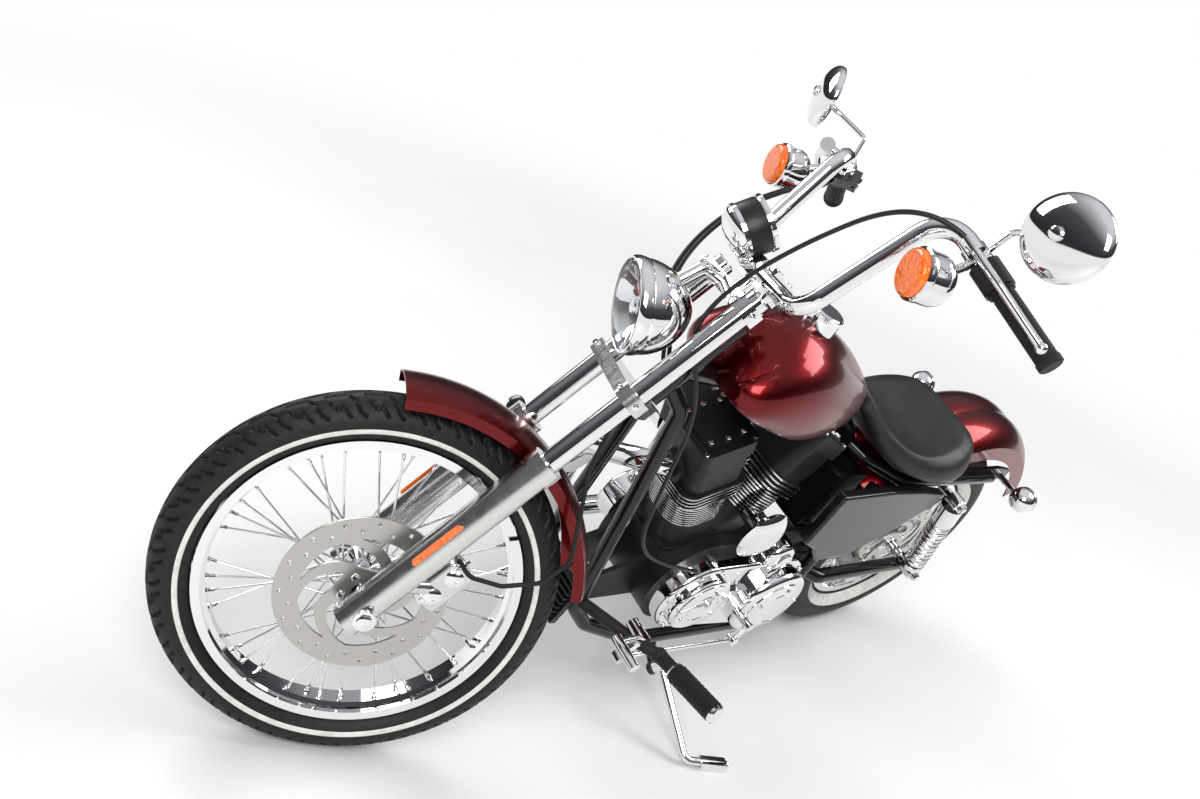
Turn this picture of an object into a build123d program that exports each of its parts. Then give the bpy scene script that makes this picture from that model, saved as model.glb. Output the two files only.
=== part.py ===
"""Air-cooled V-twin chopper motorcycle, leaning on its side stand.

Sizes are millimetres. Pieces are drawn on the upright bike: X forward, Y to the
rider's left, Z up, with the rear tyre's contact point as origin. The fork pieces are
then turned to the right stop, and the whole bike is leaned onto its stand.
"""
from build123d import *
from math import atan2, cos, degrees, hypot, pi, radians, sin, sqrt
import os

os.makedirs("parts", exist_ok=True)

# Driving dimensions of the chassis
WHEELBASE = 1524
RAKE = 30.1
TRAIL = 134
LEAN = 15.0
STEER_REST = 32.6
SEAT_GAP = 0.3
MOVE_GAP = 5.0

# Wheels
FRONT_TYRE_R = 346
FRONT_TYRE_W = 90
REAR_TYRE_R = 326
REAR_TYRE_W = 140
FRONT_SEAT_R = 268
REAR_SEAT_R = 203
FRONT_BEAD = 27
REAR_BEAD = 40
FRONT_HUB_HALF = 46
REAR_HUB_HALF = 62
AXLE_R = 10
SPOKE_COUNT = 40
SPOKE_R = 2.0
SPOKE_TWIST = 52.0
SPOKE_RIM_SIDE = 6

# Steering geometry
FORK_OFFSET = FRONT_TYRE_R * sin(radians(RAKE)) - TRAIL * cos(radians(RAKE))
UP = Vector(-sin(radians(RAKE)), 0, cos(radians(RAKE)))
AHEAD = Vector(cos(radians(RAKE)), 0, sin(radians(RAKE)))
LEFT = Vector(0, 1, 0)
FRONT_AXLE = Vector(WHEELBASE, 0, FRONT_TYRE_R)
REAR_AXLE = Vector(0, 0, REAR_TYRE_R)
STEER_FOOT = FRONT_AXLE - AHEAD * FORK_OFFSET
STEER_AXIS = Axis(STEER_FOOT, UP)

# Fork
FORK_HALF = 89
FORK_TUBE_R = 19.5
SLIDER_R = 29
SLIDER_TOP = 390
LOWER_CLAMP = 558
UPPER_CLAMP = 787
CLAMP_T = 26

# Frame
RAIL_R = 15
SPINE_R = 20
RAIL_Z = 210
SPINE_REAR = Vector(500, 0, 700)
PIVOT = Vector(440, 0, 335)
PIVOT_R = 19
REAR_MOUNT = Vector(431.5, 0, 421)
FRONT_MOUNT = Vector(1061, 0, 308)
MOUNT_R = 12

# Engine: heights run from the crank along each cylinder's bore
CRANK = Vector(785, 0, 352)
GEARBOX = Vector(590, 0, 345)
CASE_HALF = 92
CASE_R = 114
GEARBOX_R = 98
BANK = 22.5
DECK = 112
BARREL_LOW = 178
BARREL_TOP = 255
HEAD_TOP = 375
COVER_TOP = 412
FIN_PITCH = 7.0
FIN_T = 3.0

pieces = {}


def fork_point(side, along, ahead=0.0):
    """A point beside the fork: left, up the fork from the axle, and ahead of it."""
    return FRONT_AXLE + LEFT * side + UP * along + AHEAD * ahead


def across(y):
    """The side-view plane at this distance to the left, X right and Z up."""
    return Plane.XZ.offset(-y)


def wheel_section(centre):
    """The half plane that holds a wheel's section: radius right, left side up."""
    return Plane(origin=centre, x_dir=(1, 0, 0), z_dir=(0, 0, 1))


def tube(points, radius, bend, bore=0.0, mode=Mode.ADD):
    """Adds a round tube along straight runs with tangent bends."""
    with BuildLine() as route:
        if len(points) == 2:
            Line(*points)
        else:
            FilletPolyline(*points, radius=bend)
    with BuildSketch(Plane(origin=route.line @ 0, z_dir=route.line % 0)) as ring:
        Circle(radius)
        if bore:
            Circle(bore, mode=Mode.SUBTRACT)
    sweep(sections=ring.sketch, path=route.line, mode=mode)


def rod(start, end, radius, mode=Mode.ADD):
    """Adds a straight round bar between two points."""
    run = Vector(*end) - Vector(*start)
    with Locations(Plane(origin=start, z_dir=run)):
        Cylinder(radius, run.length, align=(Align.CENTER, Align.CENTER, Align.MIN), mode=mode)


def keep(name, builder, steered=False, placed=True):
    """Turns a finished piece into its resting place and files it under its name."""
    solid = builder.part
    if steered:
        solid = solid.rotate(STEER_AXIS, -STEER_REST)
    if placed:
        solid = to_rest(solid)
    box = solid.bounding_box()
    print(name, len(solid.solids()), [round(v) for v in (*box.min, *box.max)])
    pieces[name] = solid


# How the bike rests: lean, then the small pitch that puts both tyres on the ground
def lowest(centre, axle, ring_r, crown_r):
    """Height of a leaned tyre's lowest point."""
    return centre.Z - ring_r * sqrt(1 - axle.Z**2) - crown_r


def rest_rotate(shape, pitch):
    return shape.rotate(Axis.X, -LEAN).rotate(Axis.Y, pitch)


def rest_vector(vector, pitch):
    return rest_rotate(Vertex(*vector), pitch).center()


def steered_vector(vector):
    return Vertex(*vector).rotate(Axis((0, 0, 0), UP), -STEER_REST).center()


def steered_point(point):
    return Vertex(*point).rotate(STEER_AXIS, -STEER_REST).center()


FRONT_CROWN_R = FRONT_TYRE_W / 2
REAR_CROWN_R = REAR_TYRE_W / 2
PITCH = 0.0
for _ in range(4):
    rear = rest_vector(REAR_AXLE, PITCH)
    front = rest_vector(steered_point(FRONT_AXLE), PITCH)
    rear_low = lowest(rear, rest_vector(LEFT, PITCH), REAR_TYRE_R - REAR_CROWN_R, REAR_CROWN_R)
    front_axle_way = rest_vector(steered_vector(LEFT), PITCH)
    front_low = lowest(front, front_axle_way, FRONT_TYRE_R - FRONT_CROWN_R, FRONT_CROWN_R)
    PITCH += degrees(atan2(front_low - rear_low, front.X - rear.X))
LIFT = -rear_low


def to_rest(shape):
    return rest_rotate(shape, PITCH).translate((0, 0, LIFT))


def rest_point(point):
    return to_rest(Vertex(*point)).center()


print("pitch", round(PITCH, 3), "lift", round(LIFT, 2))


# Tyres and rims
# centre, outer r, width, seat r, bead half width, flange r, wall
def tyre(centre, outer_r, width, seat_r, bead, flange_r, wall):
    """A tyre with a round crown, an open air space and square beads."""
    half = width / 2
    ring_r = outer_r - half
    start = flange_r + 5
    swell = half * 0.90
    inner = half - wall
    with BuildPart() as ring:
        with BuildSketch(wheel_section(centre)):
            with BuildLine():
                Polyline((seat_r + 0.2, bead - 10), (seat_r + 0.2, bead), (flange_r + 1, bead), (start, bead + 6))
                ThreePointArc((start, bead + 6), ((start + ring_r) / 2 - 1, swell), (ring_r, half))
                ThreePointArc((ring_r, half), (ring_r + half * cos(pi / 4), half * sin(pi / 4)), (outer_r, 0))
                Line((outer_r, 0), (outer_r - wall, 0))
                ThreePointArc(
                    (outer_r - wall, 0),
                    (ring_r + inner * cos(pi / 4), inner * sin(pi / 4)),
                    (ring_r, inner),
                )
                Line((ring_r, inner), (seat_r + 0.2, bead - 10))
            make_face()
            mirror(about=Plane.XZ)
        revolve(axis=Axis(centre, (0, 1, 0)))
    return ring


def rim(centre, seat_r, bead, flange_r):
    """A laced rim with a drop centre that the spokes pull on."""
    inner_r = seat_r - 16
    with BuildPart() as ring:
        with BuildSketch(wheel_section(centre)):
            with BuildLine():
                Polyline(
                    (seat_r - 0.1, 0),
                    (seat_r - 0.1, bead + SEAT_GAP),
                    (flange_r, bead + SEAT_GAP),
                    (flange_r, bead + 5),
                    (seat_r - 8, bead + 5),
                    (seat_r - 8, bead * 0.6),
                    (inner_r, bead * 0.45),
                    (inner_r, 0),
                    close=True,
                )
            make_face()
            mirror(about=Plane.XZ)
        revolve(axis=Axis(centre, (0, 1, 0)))
        edge_ring = ring.edges().filter_by(GeomType.CIRCLE).sort_by(SortBy.RADIUS)[-2:]
        fillet(edge_ring, 1.8)
    return ring


def spoke_ends(side, way, turn, head_r, foot_r, flange_half):
    """The hub end and the rim end of one spoke, about the wheel's centre."""
    foot = radians(turn)
    head = radians(turn + way * SPOKE_TWIST)
    foot_side = side * (flange_half - 2 * way)
    start = Vector(foot_r * cos(foot), foot_side, foot_r * sin(foot))
    end = Vector(head_r * cos(head), foot_side * SPOKE_RIM_SIDE / flange_half, head_r * sin(head))
    return start, end


def spoke_places(centre, head_r, foot_r, flange_half):
    """Where each spoke starts and which way it runs, crossed on both sides."""
    quarter = SPOKE_COUNT // 4
    places = []
    for k in range(quarter):
        for side in (-1, 1):
            for way in (-1, 1):
                turn = 360 / quarter * (k + 0.25 * way + 0.125 * side)
                start, end = spoke_ends(side, way, turn, head_r, foot_r, flange_half)
                places.append(Plane(origin=centre + start, z_dir=end - start).location)
    return places


def spoke_length(head_r, foot_r, flange_half):
    start, end = spoke_ends(1, 1, 0, head_r, foot_r, flange_half)
    return (end - start).length


def hub_with_spokes(centre, rim_inner_r, barrel_r, flange_r, hub_half, flange_half, bore_r):
    """A hub with two flanges and crossed spokes that end just inside the rim."""
    with BuildPart() as hub:
        with BuildSketch(wheel_section(centre)):
            with BuildLine():
                Polyline(
                    (bore_r, 0),
                    (bore_r, hub_half),
                    (barrel_r + 4, hub_half),
                    (barrel_r + 4, flange_half + 4),
                    (flange_r, flange_half + 4),
                    (flange_r, flange_half - 4),
                    (barrel_r, flange_half - 9),
                    (barrel_r, 0),
                    close=True,
                )
            make_face()
            mirror(about=Plane.XZ)
        revolve(axis=Axis(centre, (0, 1, 0)))
        with Locations(*spoke_places(centre, rim_inner_r - 1, flange_r - 6, flange_half)):
            Cylinder(
                SPOKE_R,
                spoke_length(rim_inner_r - 1, flange_r - 6, flange_half),
                align=(Align.CENTER, Align.CENTER, Align.MIN),
            )
    return hub


front_tyre = tyre(FRONT_AXLE, FRONT_TYRE_R, FRONT_TYRE_W, FRONT_SEAT_R, FRONT_BEAD, FRONT_SEAT_R + 7, 8)
front_rim = rim(FRONT_AXLE, FRONT_SEAT_R, FRONT_BEAD, FRONT_SEAT_R + 7)
rear_tyre = tyre(REAR_AXLE, REAR_TYRE_R, REAR_TYRE_W, REAR_SEAT_R, REAR_BEAD, REAR_SEAT_R + 9, 10)
rear_rim = rim(REAR_AXLE, REAR_SEAT_R, REAR_BEAD, REAR_SEAT_R + 9)
front_hub = hub_with_spokes(FRONT_AXLE, FRONT_SEAT_R - 16, 24, 42, FRONT_HUB_HALF, 32, AXLE_R + 0.05)
rear_hub = hub_with_spokes(REAR_AXLE, REAR_SEAT_R - 16, 34, 58, REAR_HUB_HALF, 42, AXLE_R + 0.05)
keep("tyre_front", front_tyre, steered=True)
keep("rim_front", front_rim, steered=True)
keep("hub_front", front_hub, steered=True)
keep("tyre_rear", rear_tyre)
keep("rim_rear", rear_rim)
keep("hub_rear", rear_hub)

# Axles, brakes and the fork
LEG_INNER = FORK_HALF - SLIDER_R
LEG_OUTER = FORK_HALF + SLIDER_R
SPACER_R = 15
RUN_GAP = 1.0
DISC_T = 5
with BuildPart() as front_axle:
    rod(fork_point(-LEG_OUTER - 5, 0), fork_point(LEG_OUTER + 5, 0), AXLE_R)
    rod(fork_point(-LEG_OUTER - 17, 0), fork_point(-LEG_OUTER - 5, 0), 15)
    rod(fork_point(LEG_OUTER + 5, 0), fork_point(LEG_OUTER + 13, 0), 17)
    for side, inner in ((1, FRONT_HUB_HALF + SEAT_GAP + DISC_T), (-1, FRONT_HUB_HALF)):
        rod(fork_point(side * (inner + RUN_GAP), 0), fork_point(side * (LEG_INNER - SEAT_GAP), 0), SPACER_R)
    rod(fork_point(-LEG_OUTER - 18, 0), fork_point(LEG_OUTER + 14, 0), 5, mode=Mode.SUBTRACT)
keep("axle_front", front_axle, steered=True)

# outer r, band r, carrier r, side y, thickness
FRONT_DISC = (146, 108, 37, FRONT_HUB_HALF + SEAT_GAP, DISC_T)
REAR_DISC = (130, 98, 37, REAR_HUB_HALF + SEAT_GAP, DISC_T)


def disc(centre, sizes, bore_r):
    """A drilled brake disc on five arms, bolted to its hub's left face."""
    outer_r, band_r, centre_r, side_y, thick = sizes
    with BuildPart() as plate:
        with BuildSketch(Plane(origin=centre + LEFT * side_y, x_dir=(1, 0, 0), z_dir=(0, -1, 0))):
            Circle(outer_r)
            Circle(band_r, mode=Mode.SUBTRACT)
            Circle(centre_r + 8)
            with PolarLocations((centre_r + band_r) / 2, 5, start_angle=18):
                Rectangle(band_r - centre_r + 6, 20)
            Circle(bore_r, mode=Mode.SUBTRACT)
            with PolarLocations((outer_r + band_r) / 2 + 7, 15):
                Circle(4, mode=Mode.SUBTRACT)
            with PolarLocations((outer_r + band_r) / 2 - 7, 15, start_angle=12):
                Circle(4, mode=Mode.SUBTRACT)
        extrude(amount=-thick)
    return plate


front_disc = disc(FRONT_AXLE, FRONT_DISC, 20)
keep("disc_front", front_disc, steered=True)
rear_disc = disc(REAR_AXLE, REAR_DISC, 20)
keep("disc_rear", rear_disc)

with BuildPart() as fork_legs:
    for side in (-1, 1):
        rod(fork_point(side * FORK_HALF, -38), fork_point(side * FORK_HALF, SLIDER_TOP), SLIDER_R)
        rod(fork_point(side * FORK_HALF, SLIDER_TOP - 26), fork_point(side * FORK_HALF, SLIDER_TOP), SLIDER_R + 3)
    rod(fork_point(-LEG_OUTER - 4, 0), fork_point(LEG_OUTER + 4, 0), AXLE_R + 0.05, mode=Mode.SUBTRACT)
keep("fork_legs", fork_legs, steered=True)

with BuildPart() as fork_tubes:
    for side in (-1, 1):
        rod(
            fork_point(side * FORK_HALF, SLIDER_TOP + 0.2),
            fork_point(side * FORK_HALF, UPPER_CLAMP + 24),
            FORK_TUBE_R,
        )
keep("fork_tubes", fork_tubes, steered=True)

STEM_R = 14
HEAD_R = 26


def clamp_plane(along):
    return Plane(origin=fork_point(0, along), x_dir=LEFT, z_dir=UP)


def clamp(along, leg_r, neck_r, with_stem):
    """A fork clamp: two split eyes round the tubes and a boss on the steering axis."""
    with BuildPart() as yoke:
        with BuildSketch(clamp_plane(along - CLAMP_T / 2)):
            with Locations((FORK_HALF, 0), (-FORK_HALF, 0)):
                Circle(leg_r)
            with Locations((0, FORK_OFFSET)):
                Circle(neck_r)
            make_hull()
            with Locations((FORK_HALF, 0), (-FORK_HALF, 0)):
                Circle(FORK_TUBE_R + 0.1, mode=Mode.SUBTRACT)
        extrude(amount=CLAMP_T)
        if with_stem:
            rod(
                fork_point(0, along, -FORK_OFFSET),
                fork_point(0, UPPER_CLAMP - CLAMP_T / 2 - 0.1, -FORK_OFFSET),
                STEM_R,
            )
    return yoke


lower_clamp = clamp(LOWER_CLAMP, 31, 34, True)
keep("fork_clamp_lower", lower_clamp, steered=True)

# Handlebar: the bends of its left half, by the fork turned straight ahead
BAR_R = 15.8
BAR_END_R = 11
BAR_FOOT = fork_point(147, 845.4, -26.6)
BAR_TOP = fork_point(192, 1109.7, -26)
BAR_END = fork_point(411, 1071.1, -192.8)
BAR_BEND = 52
GRIP_WAY = (BAR_END - BAR_TOP).normalized()
GRIP_AHEAD = (AHEAD - GRIP_WAY * AHEAD.dot(GRIP_WAY)).normalized()
BAR_CLAMP_Y = 34


def flip(point, side):
    """The same point on the chosen side of the bike: +1 left, -1 right."""
    return Vector(point.X, point.Y * side, point.Z)


def grip_point(side, along, ahead=0.0, above=0.0):
    """A point by the grip line: from the bend outwards, ahead of it, above it."""
    over = GRIP_WAY.cross(GRIP_AHEAD) * -1
    return flip(BAR_TOP + GRIP_WAY * along + GRIP_AHEAD * ahead + over * above, side)


GRIP_LENGTH = (BAR_END - BAR_TOP).length
THICK_END = 62
upper_clamp = clamp(UPPER_CLAMP, 29, 34, False)
with BuildPart() as bar_clamps:
    add(upper_clamp.part)
    for side in (-1, 1):
        post = Vector(BAR_FOOT.X, side * BAR_CLAMP_Y, BAR_FOOT.Z)
        rod(fork_point(side * BAR_CLAMP_Y, UPPER_CLAMP + 5, -28), post, 15)
        with Locations(Plane(origin=post, x_dir=LEFT, z_dir=UP)):
            Box(26, 46, 44)
    rod((BAR_FOOT.X, -60, BAR_FOOT.Z), (BAR_FOOT.X, 60, BAR_FOOT.Z), BAR_R + 0.1, mode=Mode.SUBTRACT)
keep("bar_clamps", bar_clamps, steered=True)

with BuildPart() as handlebar:
    tube(
        [
            grip_point(-1, THICK_END),
            flip(BAR_TOP, -1),
            flip(BAR_FOOT, -1),
            BAR_FOOT,
            BAR_TOP,
            grip_point(1, THICK_END),
        ],
        BAR_R,
        BAR_BEND,
    )
    for side in (-1, 1):
        rod(grip_point(side, THICK_END - 5), grip_point(side, GRIP_LENGTH - 4), BAR_END_R)
keep("handlebar", handlebar, steered=True)

GRIP_START = GRIP_LENGTH - 128
with BuildPart() as grips:
    for side in (-1, 1):
        rod(grip_point(side, GRIP_START), grip_point(side, GRIP_LENGTH), 17)
        rod(grip_point(side, GRIP_START - 5), grip_point(side, GRIP_START), 21)
        rod(grip_point(side, GRIP_START - 8), grip_point(side, GRIP_LENGTH - 4), BAR_END_R + 0.1, mode=Mode.SUBTRACT)
keep("grips", grips, steered=True)

PERCH_R = 19
PERCH_START = 66
PERCH_END = 98
with BuildPart() as switches:
    for side in (-1, 1):
        rod(grip_point(side, PERCH_END + SEAT_GAP), grip_point(side, GRIP_START - 5 - SEAT_GAP), 24)
        with Locations(Plane(origin=grip_point(side, 121, -20), z_dir=flip(GRIP_WAY, side))):
            Box(34, 30, 36)
        rod(grip_point(side, 60), grip_point(side, GRIP_START), BAR_END_R + 0.1, mode=Mode.SUBTRACT)
keep("switch_housings", switches, steered=True)

LEVER_REACH = 46
with BuildPart() as levers:
    for side in (-1, 1):
        rod(grip_point(side, PERCH_START), grip_point(side, PERCH_END), PERCH_R)
        rod(grip_point(side, 78), grip_point(side, 78, LEVER_REACH), 10)
        with Locations(Plane(origin=grip_point(side, 80, LEVER_REACH), z_dir=flip(GRIP_WAY, side))):
            Cylinder(14, 26)
        tip = grip_point(side, 262, LEVER_REACH)
        tube([grip_point(side, 80, LEVER_REACH + 6), grip_point(side, 150, LEVER_REACH + 14), tip], 7, 60)
        with Locations(Plane(origin=tip, z_dir=flip(GRIP_WAY, side))):
            Sphere(9)
        rod(grip_point(side, 60), grip_point(side, 110), BAR_END_R + 0.1, mode=Mode.SUBTRACT)
keep("levers", levers, steered=True)

MIRROR = fork_point(430, 1170.9, -24)
MIRROR_HALF = 76
MIRROR_TALL = 62
with BuildPart() as mirrors:
    for side in (-1, 1):
        centre = flip(MIRROR, side)
        face = Plane(origin=centre, x_dir=(0, 1, 0.1), z_dir=(1, side * 0.25, 0.05))
        with BuildSketch(face):
            Ellipse(MIRROR_HALF, MIRROR_TALL)
        extrude(amount=20, taper=24)
        with BuildSketch(face):
            Ellipse(MIRROR_HALF, MIRROR_TALL)
        extrude(amount=-4)
        with BuildSketch(face.offset(-4)):
            Ellipse(MIRROR_HALF - 4, MIRROR_TALL - 4)
        extrude(amount=2, mode=Mode.SUBTRACT)
        tube(
            [
                grip_point(side, 82, 0, PERCH_R + SEAT_GAP),
                grip_point(side, 84, 8, 62),
                centre + Vector(12, -side * 20, -8),
            ],
            5,
            24,
        )
    add(levers.part, mode=Mode.SUBTRACT)
keep("mirrors", mirrors, steered=True)

SIGNAL = fork_point(293, 1010.3, -20)
SIGNAL_R = 40
SIGNAL_ALONG = (SIGNAL - BAR_TOP).dot(GRIP_WAY)
with BuildPart() as signal_shell:
    Cylinder(SIGNAL_R, 56, align=(Align.CENTER, Align.CENTER, Align.MAX))
    fillet(signal_shell.edges().filter_by(GeomType.CIRCLE).sort_by(Axis.Z)[0], 30)
with BuildPart() as front_signals:
    for side in (-1, 1):
        centre = flip(SIGNAL, side)
        with Locations(Plane(origin=centre + Vector(10, 0, 0), z_dir=(1, 0, 0))):
            add(signal_shell.part)
        foot = grip_point(side, SIGNAL_ALONG)
        stalk_way = (centre - foot).normalized()
        rod(foot + stalk_way * (PERCH_R + SEAT_GAP), centre - Vector(20, 0, 0), 7)
    add(levers.part, mode=Mode.SUBTRACT)
keep("signals_front", front_signals, steered=True)
with BuildPart() as front_lenses:
    for side in (-1, 1):
        centre = flip(SIGNAL, side)
        rod(centre + Vector(10.2, 0, 0), centre + Vector(26, 0, 0), SIGNAL_R - 3)
    fillet(front_lenses.edges().filter_by(GeomType.CIRCLE).group_by(Axis.X)[-1], 8)
keep("signal_lenses_front", front_lenses, steered=True)

# Headlight: front centre and the way it points
LAMP = fork_point(0, 646.8, 90.6)
LAMP_WAY = Vector(cos(radians(11)), 0, -sin(radians(11)))
LAMP_R = 80
lamp_plane = Plane(origin=LAMP, x_dir=LEFT, z_dir=LAMP_WAY)
with BuildPart() as bowl:
    with BuildSketch(Plane.XZ):
        with BuildLine():
            Polyline((LAMP_R - 6, 0), (LAMP_R, 0), (LAMP_R, -22))
            ThreePointArc((LAMP_R, -22), (61, -70), (0, -106))
            Line((0, -106), (0, -98))
            ThreePointArc((0, -98), (54, -66), (LAMP_R - 6, -20))
            Line((LAMP_R - 6, -20), (LAMP_R - 6, 0))
        make_face()
    revolve(axis=Axis.Z)
with BuildPart() as headlight_shell:
    with Locations(lamp_plane):
        add(bowl.part)
    tube([fork_point(0, UPPER_CLAMP, 29.3), fork_point(0, UPPER_CLAMP - 8, 62), LAMP + LAMP_WAY * -62 + Vector(0, 0, 54)], 12, 14)
    with Locations(lamp_plane):
        Cylinder(50, 60, align=(Align.CENTER, Align.CENTER, Align.MAX), mode=Mode.SUBTRACT)
    add(bar_clamps.part, mode=Mode.SUBTRACT)
keep("headlight_shell", headlight_shell, steered=True)
with BuildPart() as lens:
    with Locations(lamp_plane):
        Cylinder(LAMP_R - 6.3, 14)
    fillet(lens.edges().filter_by(GeomType.CIRCLE).sort_by(Axis.X)[-1:], 6)
keep("headlight_lens", lens, steered=True)

DIAL_FRONT = fork_point(0, 853.5, 72.9)
DIAL_BACK = fork_point(0, 903, 55.3)
DIAL_FOOT = fork_point(0, 846.8, 14.7)
with BuildPart() as speedometer:
    rod(DIAL_FRONT, DIAL_BACK, 46)
    way = (DIAL_BACK - DIAL_FRONT).normalized()
    rod(DIAL_FRONT, DIAL_FRONT + way * 7, 49)
    rod(DIAL_BACK - way * 7, DIAL_BACK, 49)
    rod(DIAL_BACK - way * 2, DIAL_BACK + way * 1, 43, mode=Mode.SUBTRACT)
with BuildPart() as dial:
    add(speedometer.part)
    with Locations(Plane(origin=DIAL_FOOT, x_dir=LEFT, z_dir=(DIAL_FRONT - DIAL_BACK))):
        Box(94, 34, 26)
    add(bar_clamps.part, mode=Mode.SUBTRACT)
    add(handlebar.part, mode=Mode.SUBTRACT)
keep("speedometer", dial, steered=True)


def fender(centre, crown_r, half, drop, from_turn, to_turn, inner_r=0):
    """A pressed mudguard swept round the wheel; an inner radius makes it a solid ring."""
    turn = radians(to_turn)
    section = Plane(origin=centre, x_dir=(cos(turn), 0, sin(turn)), z_dir=(-sin(turn), 0, cos(turn)))
    shoulder = crown_r - drop * 0.45
    edge = crown_r - drop
    with BuildPart() as guard:
        with BuildSketch(section):
            with BuildLine():
                Line((edge, half), (shoulder, half))
                ThreePointArc((shoulder, half), (crown_r - 5, half * 0.62), (crown_r, 0))
                if inner_r:
                    Polyline((crown_r, 0), (inner_r, 0), (inner_r, half), (edge, half))
                else:
                    Line((crown_r, 0), (crown_r - FENDER_T, 0))
                    ThreePointArc(
                        (crown_r - FENDER_T, 0),
                        (crown_r - 5 - FENDER_T, half * 0.60),
                        (shoulder - 1, half - FENDER_T),
                    )
                    Polyline((shoulder - 1, half - FENDER_T), (edge, half - FENDER_T), (edge, half))
            make_face()
            mirror(about=Plane.XZ)
        revolve(axis=Axis(centre, (0, 1, 0)), revolution_arc=to_turn - from_turn)
    return guard


FENDER_T = 3.0
FRONT_FENDER_GAP = 28
FRONT_FENDER_HALF = FRONT_TYRE_W / 2 + 12
REAR_FENDER_R = REAR_TYRE_R + 89
REAR_FENDER_HALF = REAR_TYRE_W / 2 + 24
front_guard = fender(
    FRONT_AXLE + Vector(-16, 0, 10), FRONT_TYRE_R + FRONT_FENDER_GAP, FRONT_FENDER_HALF, 34, 79, 168
)
FENDER_LUG = FRONT_TYRE_R - 1
with BuildPart() as front_fender:
    add(front_guard.part)
    for side in (-1, 1):
        rod(
            fork_point(side * (FRONT_FENDER_HALF - 6), FENDER_LUG, 6),
            fork_point(side * (LEG_INNER - SEAT_GAP), FENDER_LUG, 6),
            14,
        )
    add(fork_legs.part, mode=Mode.SUBTRACT)
keep("fender_front", front_fender, steered=True)

CALIPER_AT = FRONT_AXLE + Vector(-118, FRONT_DISC[3] + 10, 62)
with BuildPart() as caliper_body:
    Box(96, 52, 46)
    fillet(caliper_body.edges().filter_by(Axis.Z), 12)
    fillet(caliper_body.faces().sort_by(Axis.Z)[-1].edges(), 5)
with BuildPart() as front_caliper:
    with Locations(Plane(origin=CALIPER_AT, x_dir=UP, z_dir=LEFT)):
        add(caliper_body.part)
    rod(CALIPER_AT + Vector(4, 6, -10), fork_point(FORK_HALF, 70, -10), 14)
    with Locations(Plane(origin=FRONT_AXLE + LEFT * (FRONT_DISC[3] + DISC_T / 2), z_dir=LEFT)):
        Cylinder(FRONT_DISC[0] + MOVE_GAP, DISC_T + 2 * MOVE_GAP, mode=Mode.SUBTRACT)
    add(fork_legs.part, mode=Mode.SUBTRACT)
keep("caliper_front", front_caliper, steered=True)

# Side stand's lug: the eye, and the pin's way found from the two leg directions
STAND_EYE = Vector(794, 170, 174)
STAND_BEND = Vector(805, 366, 12)
STAND_TOE = Vector(716, 406, 9)
STAND_EYE_AT_REST = rest_point(STAND_EYE)
STAND_DOWN = (STAND_BEND - STAND_EYE_AT_REST).normalized()
STAND_STOWED = rest_vector(Vector(-1, 0.18, -0.22), PITCH).normalized()
STAND_PIN_WAY = STAND_DOWN.cross(STAND_STOWED).normalized()
STAND_SWING = STAND_DOWN.get_angle(STAND_STOWED)
STAND_PIN_R = 6
STAND_EYE_R = 15
STAND_EYE_HALF = 14
STAND_LUG_WAY = Vertex(*STAND_PIN_WAY).rotate(Axis.Y, -PITCH).rotate(Axis.X, LEAN).center()

# Frame: steering head, spine, two loops and the seat rails
HEAD_LOW = LOWER_CLAMP + CLAMP_T / 2 + MOVE_GAP
HEAD_HIGH = UPPER_CLAMP - CLAMP_T / 2 - MOVE_GAP
SPINE_NOSE = fork_point(0, 646, -FORK_OFFSET)
SPINE_KNEE = Vector(620, 0, 782)
with BuildPart() as spine:
    rod(fork_point(0, HEAD_LOW, -FORK_OFFSET), fork_point(0, HEAD_HIGH, -FORK_OFFSET), HEAD_R)
    tube([SPINE_NOSE, SPINE_KNEE, SPINE_REAR, SPINE_REAR + Vector(-60, 0, -60)], SPINE_R, 50)
    rod(
        fork_point(0, HEAD_LOW - 1, -FORK_OFFSET),
        fork_point(0, HEAD_HIGH + 1, -FORK_OFFSET),
        STEM_R + 0.06,
        mode=Mode.SUBTRACT,
    )
keep("frame_spine", spine)

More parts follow.
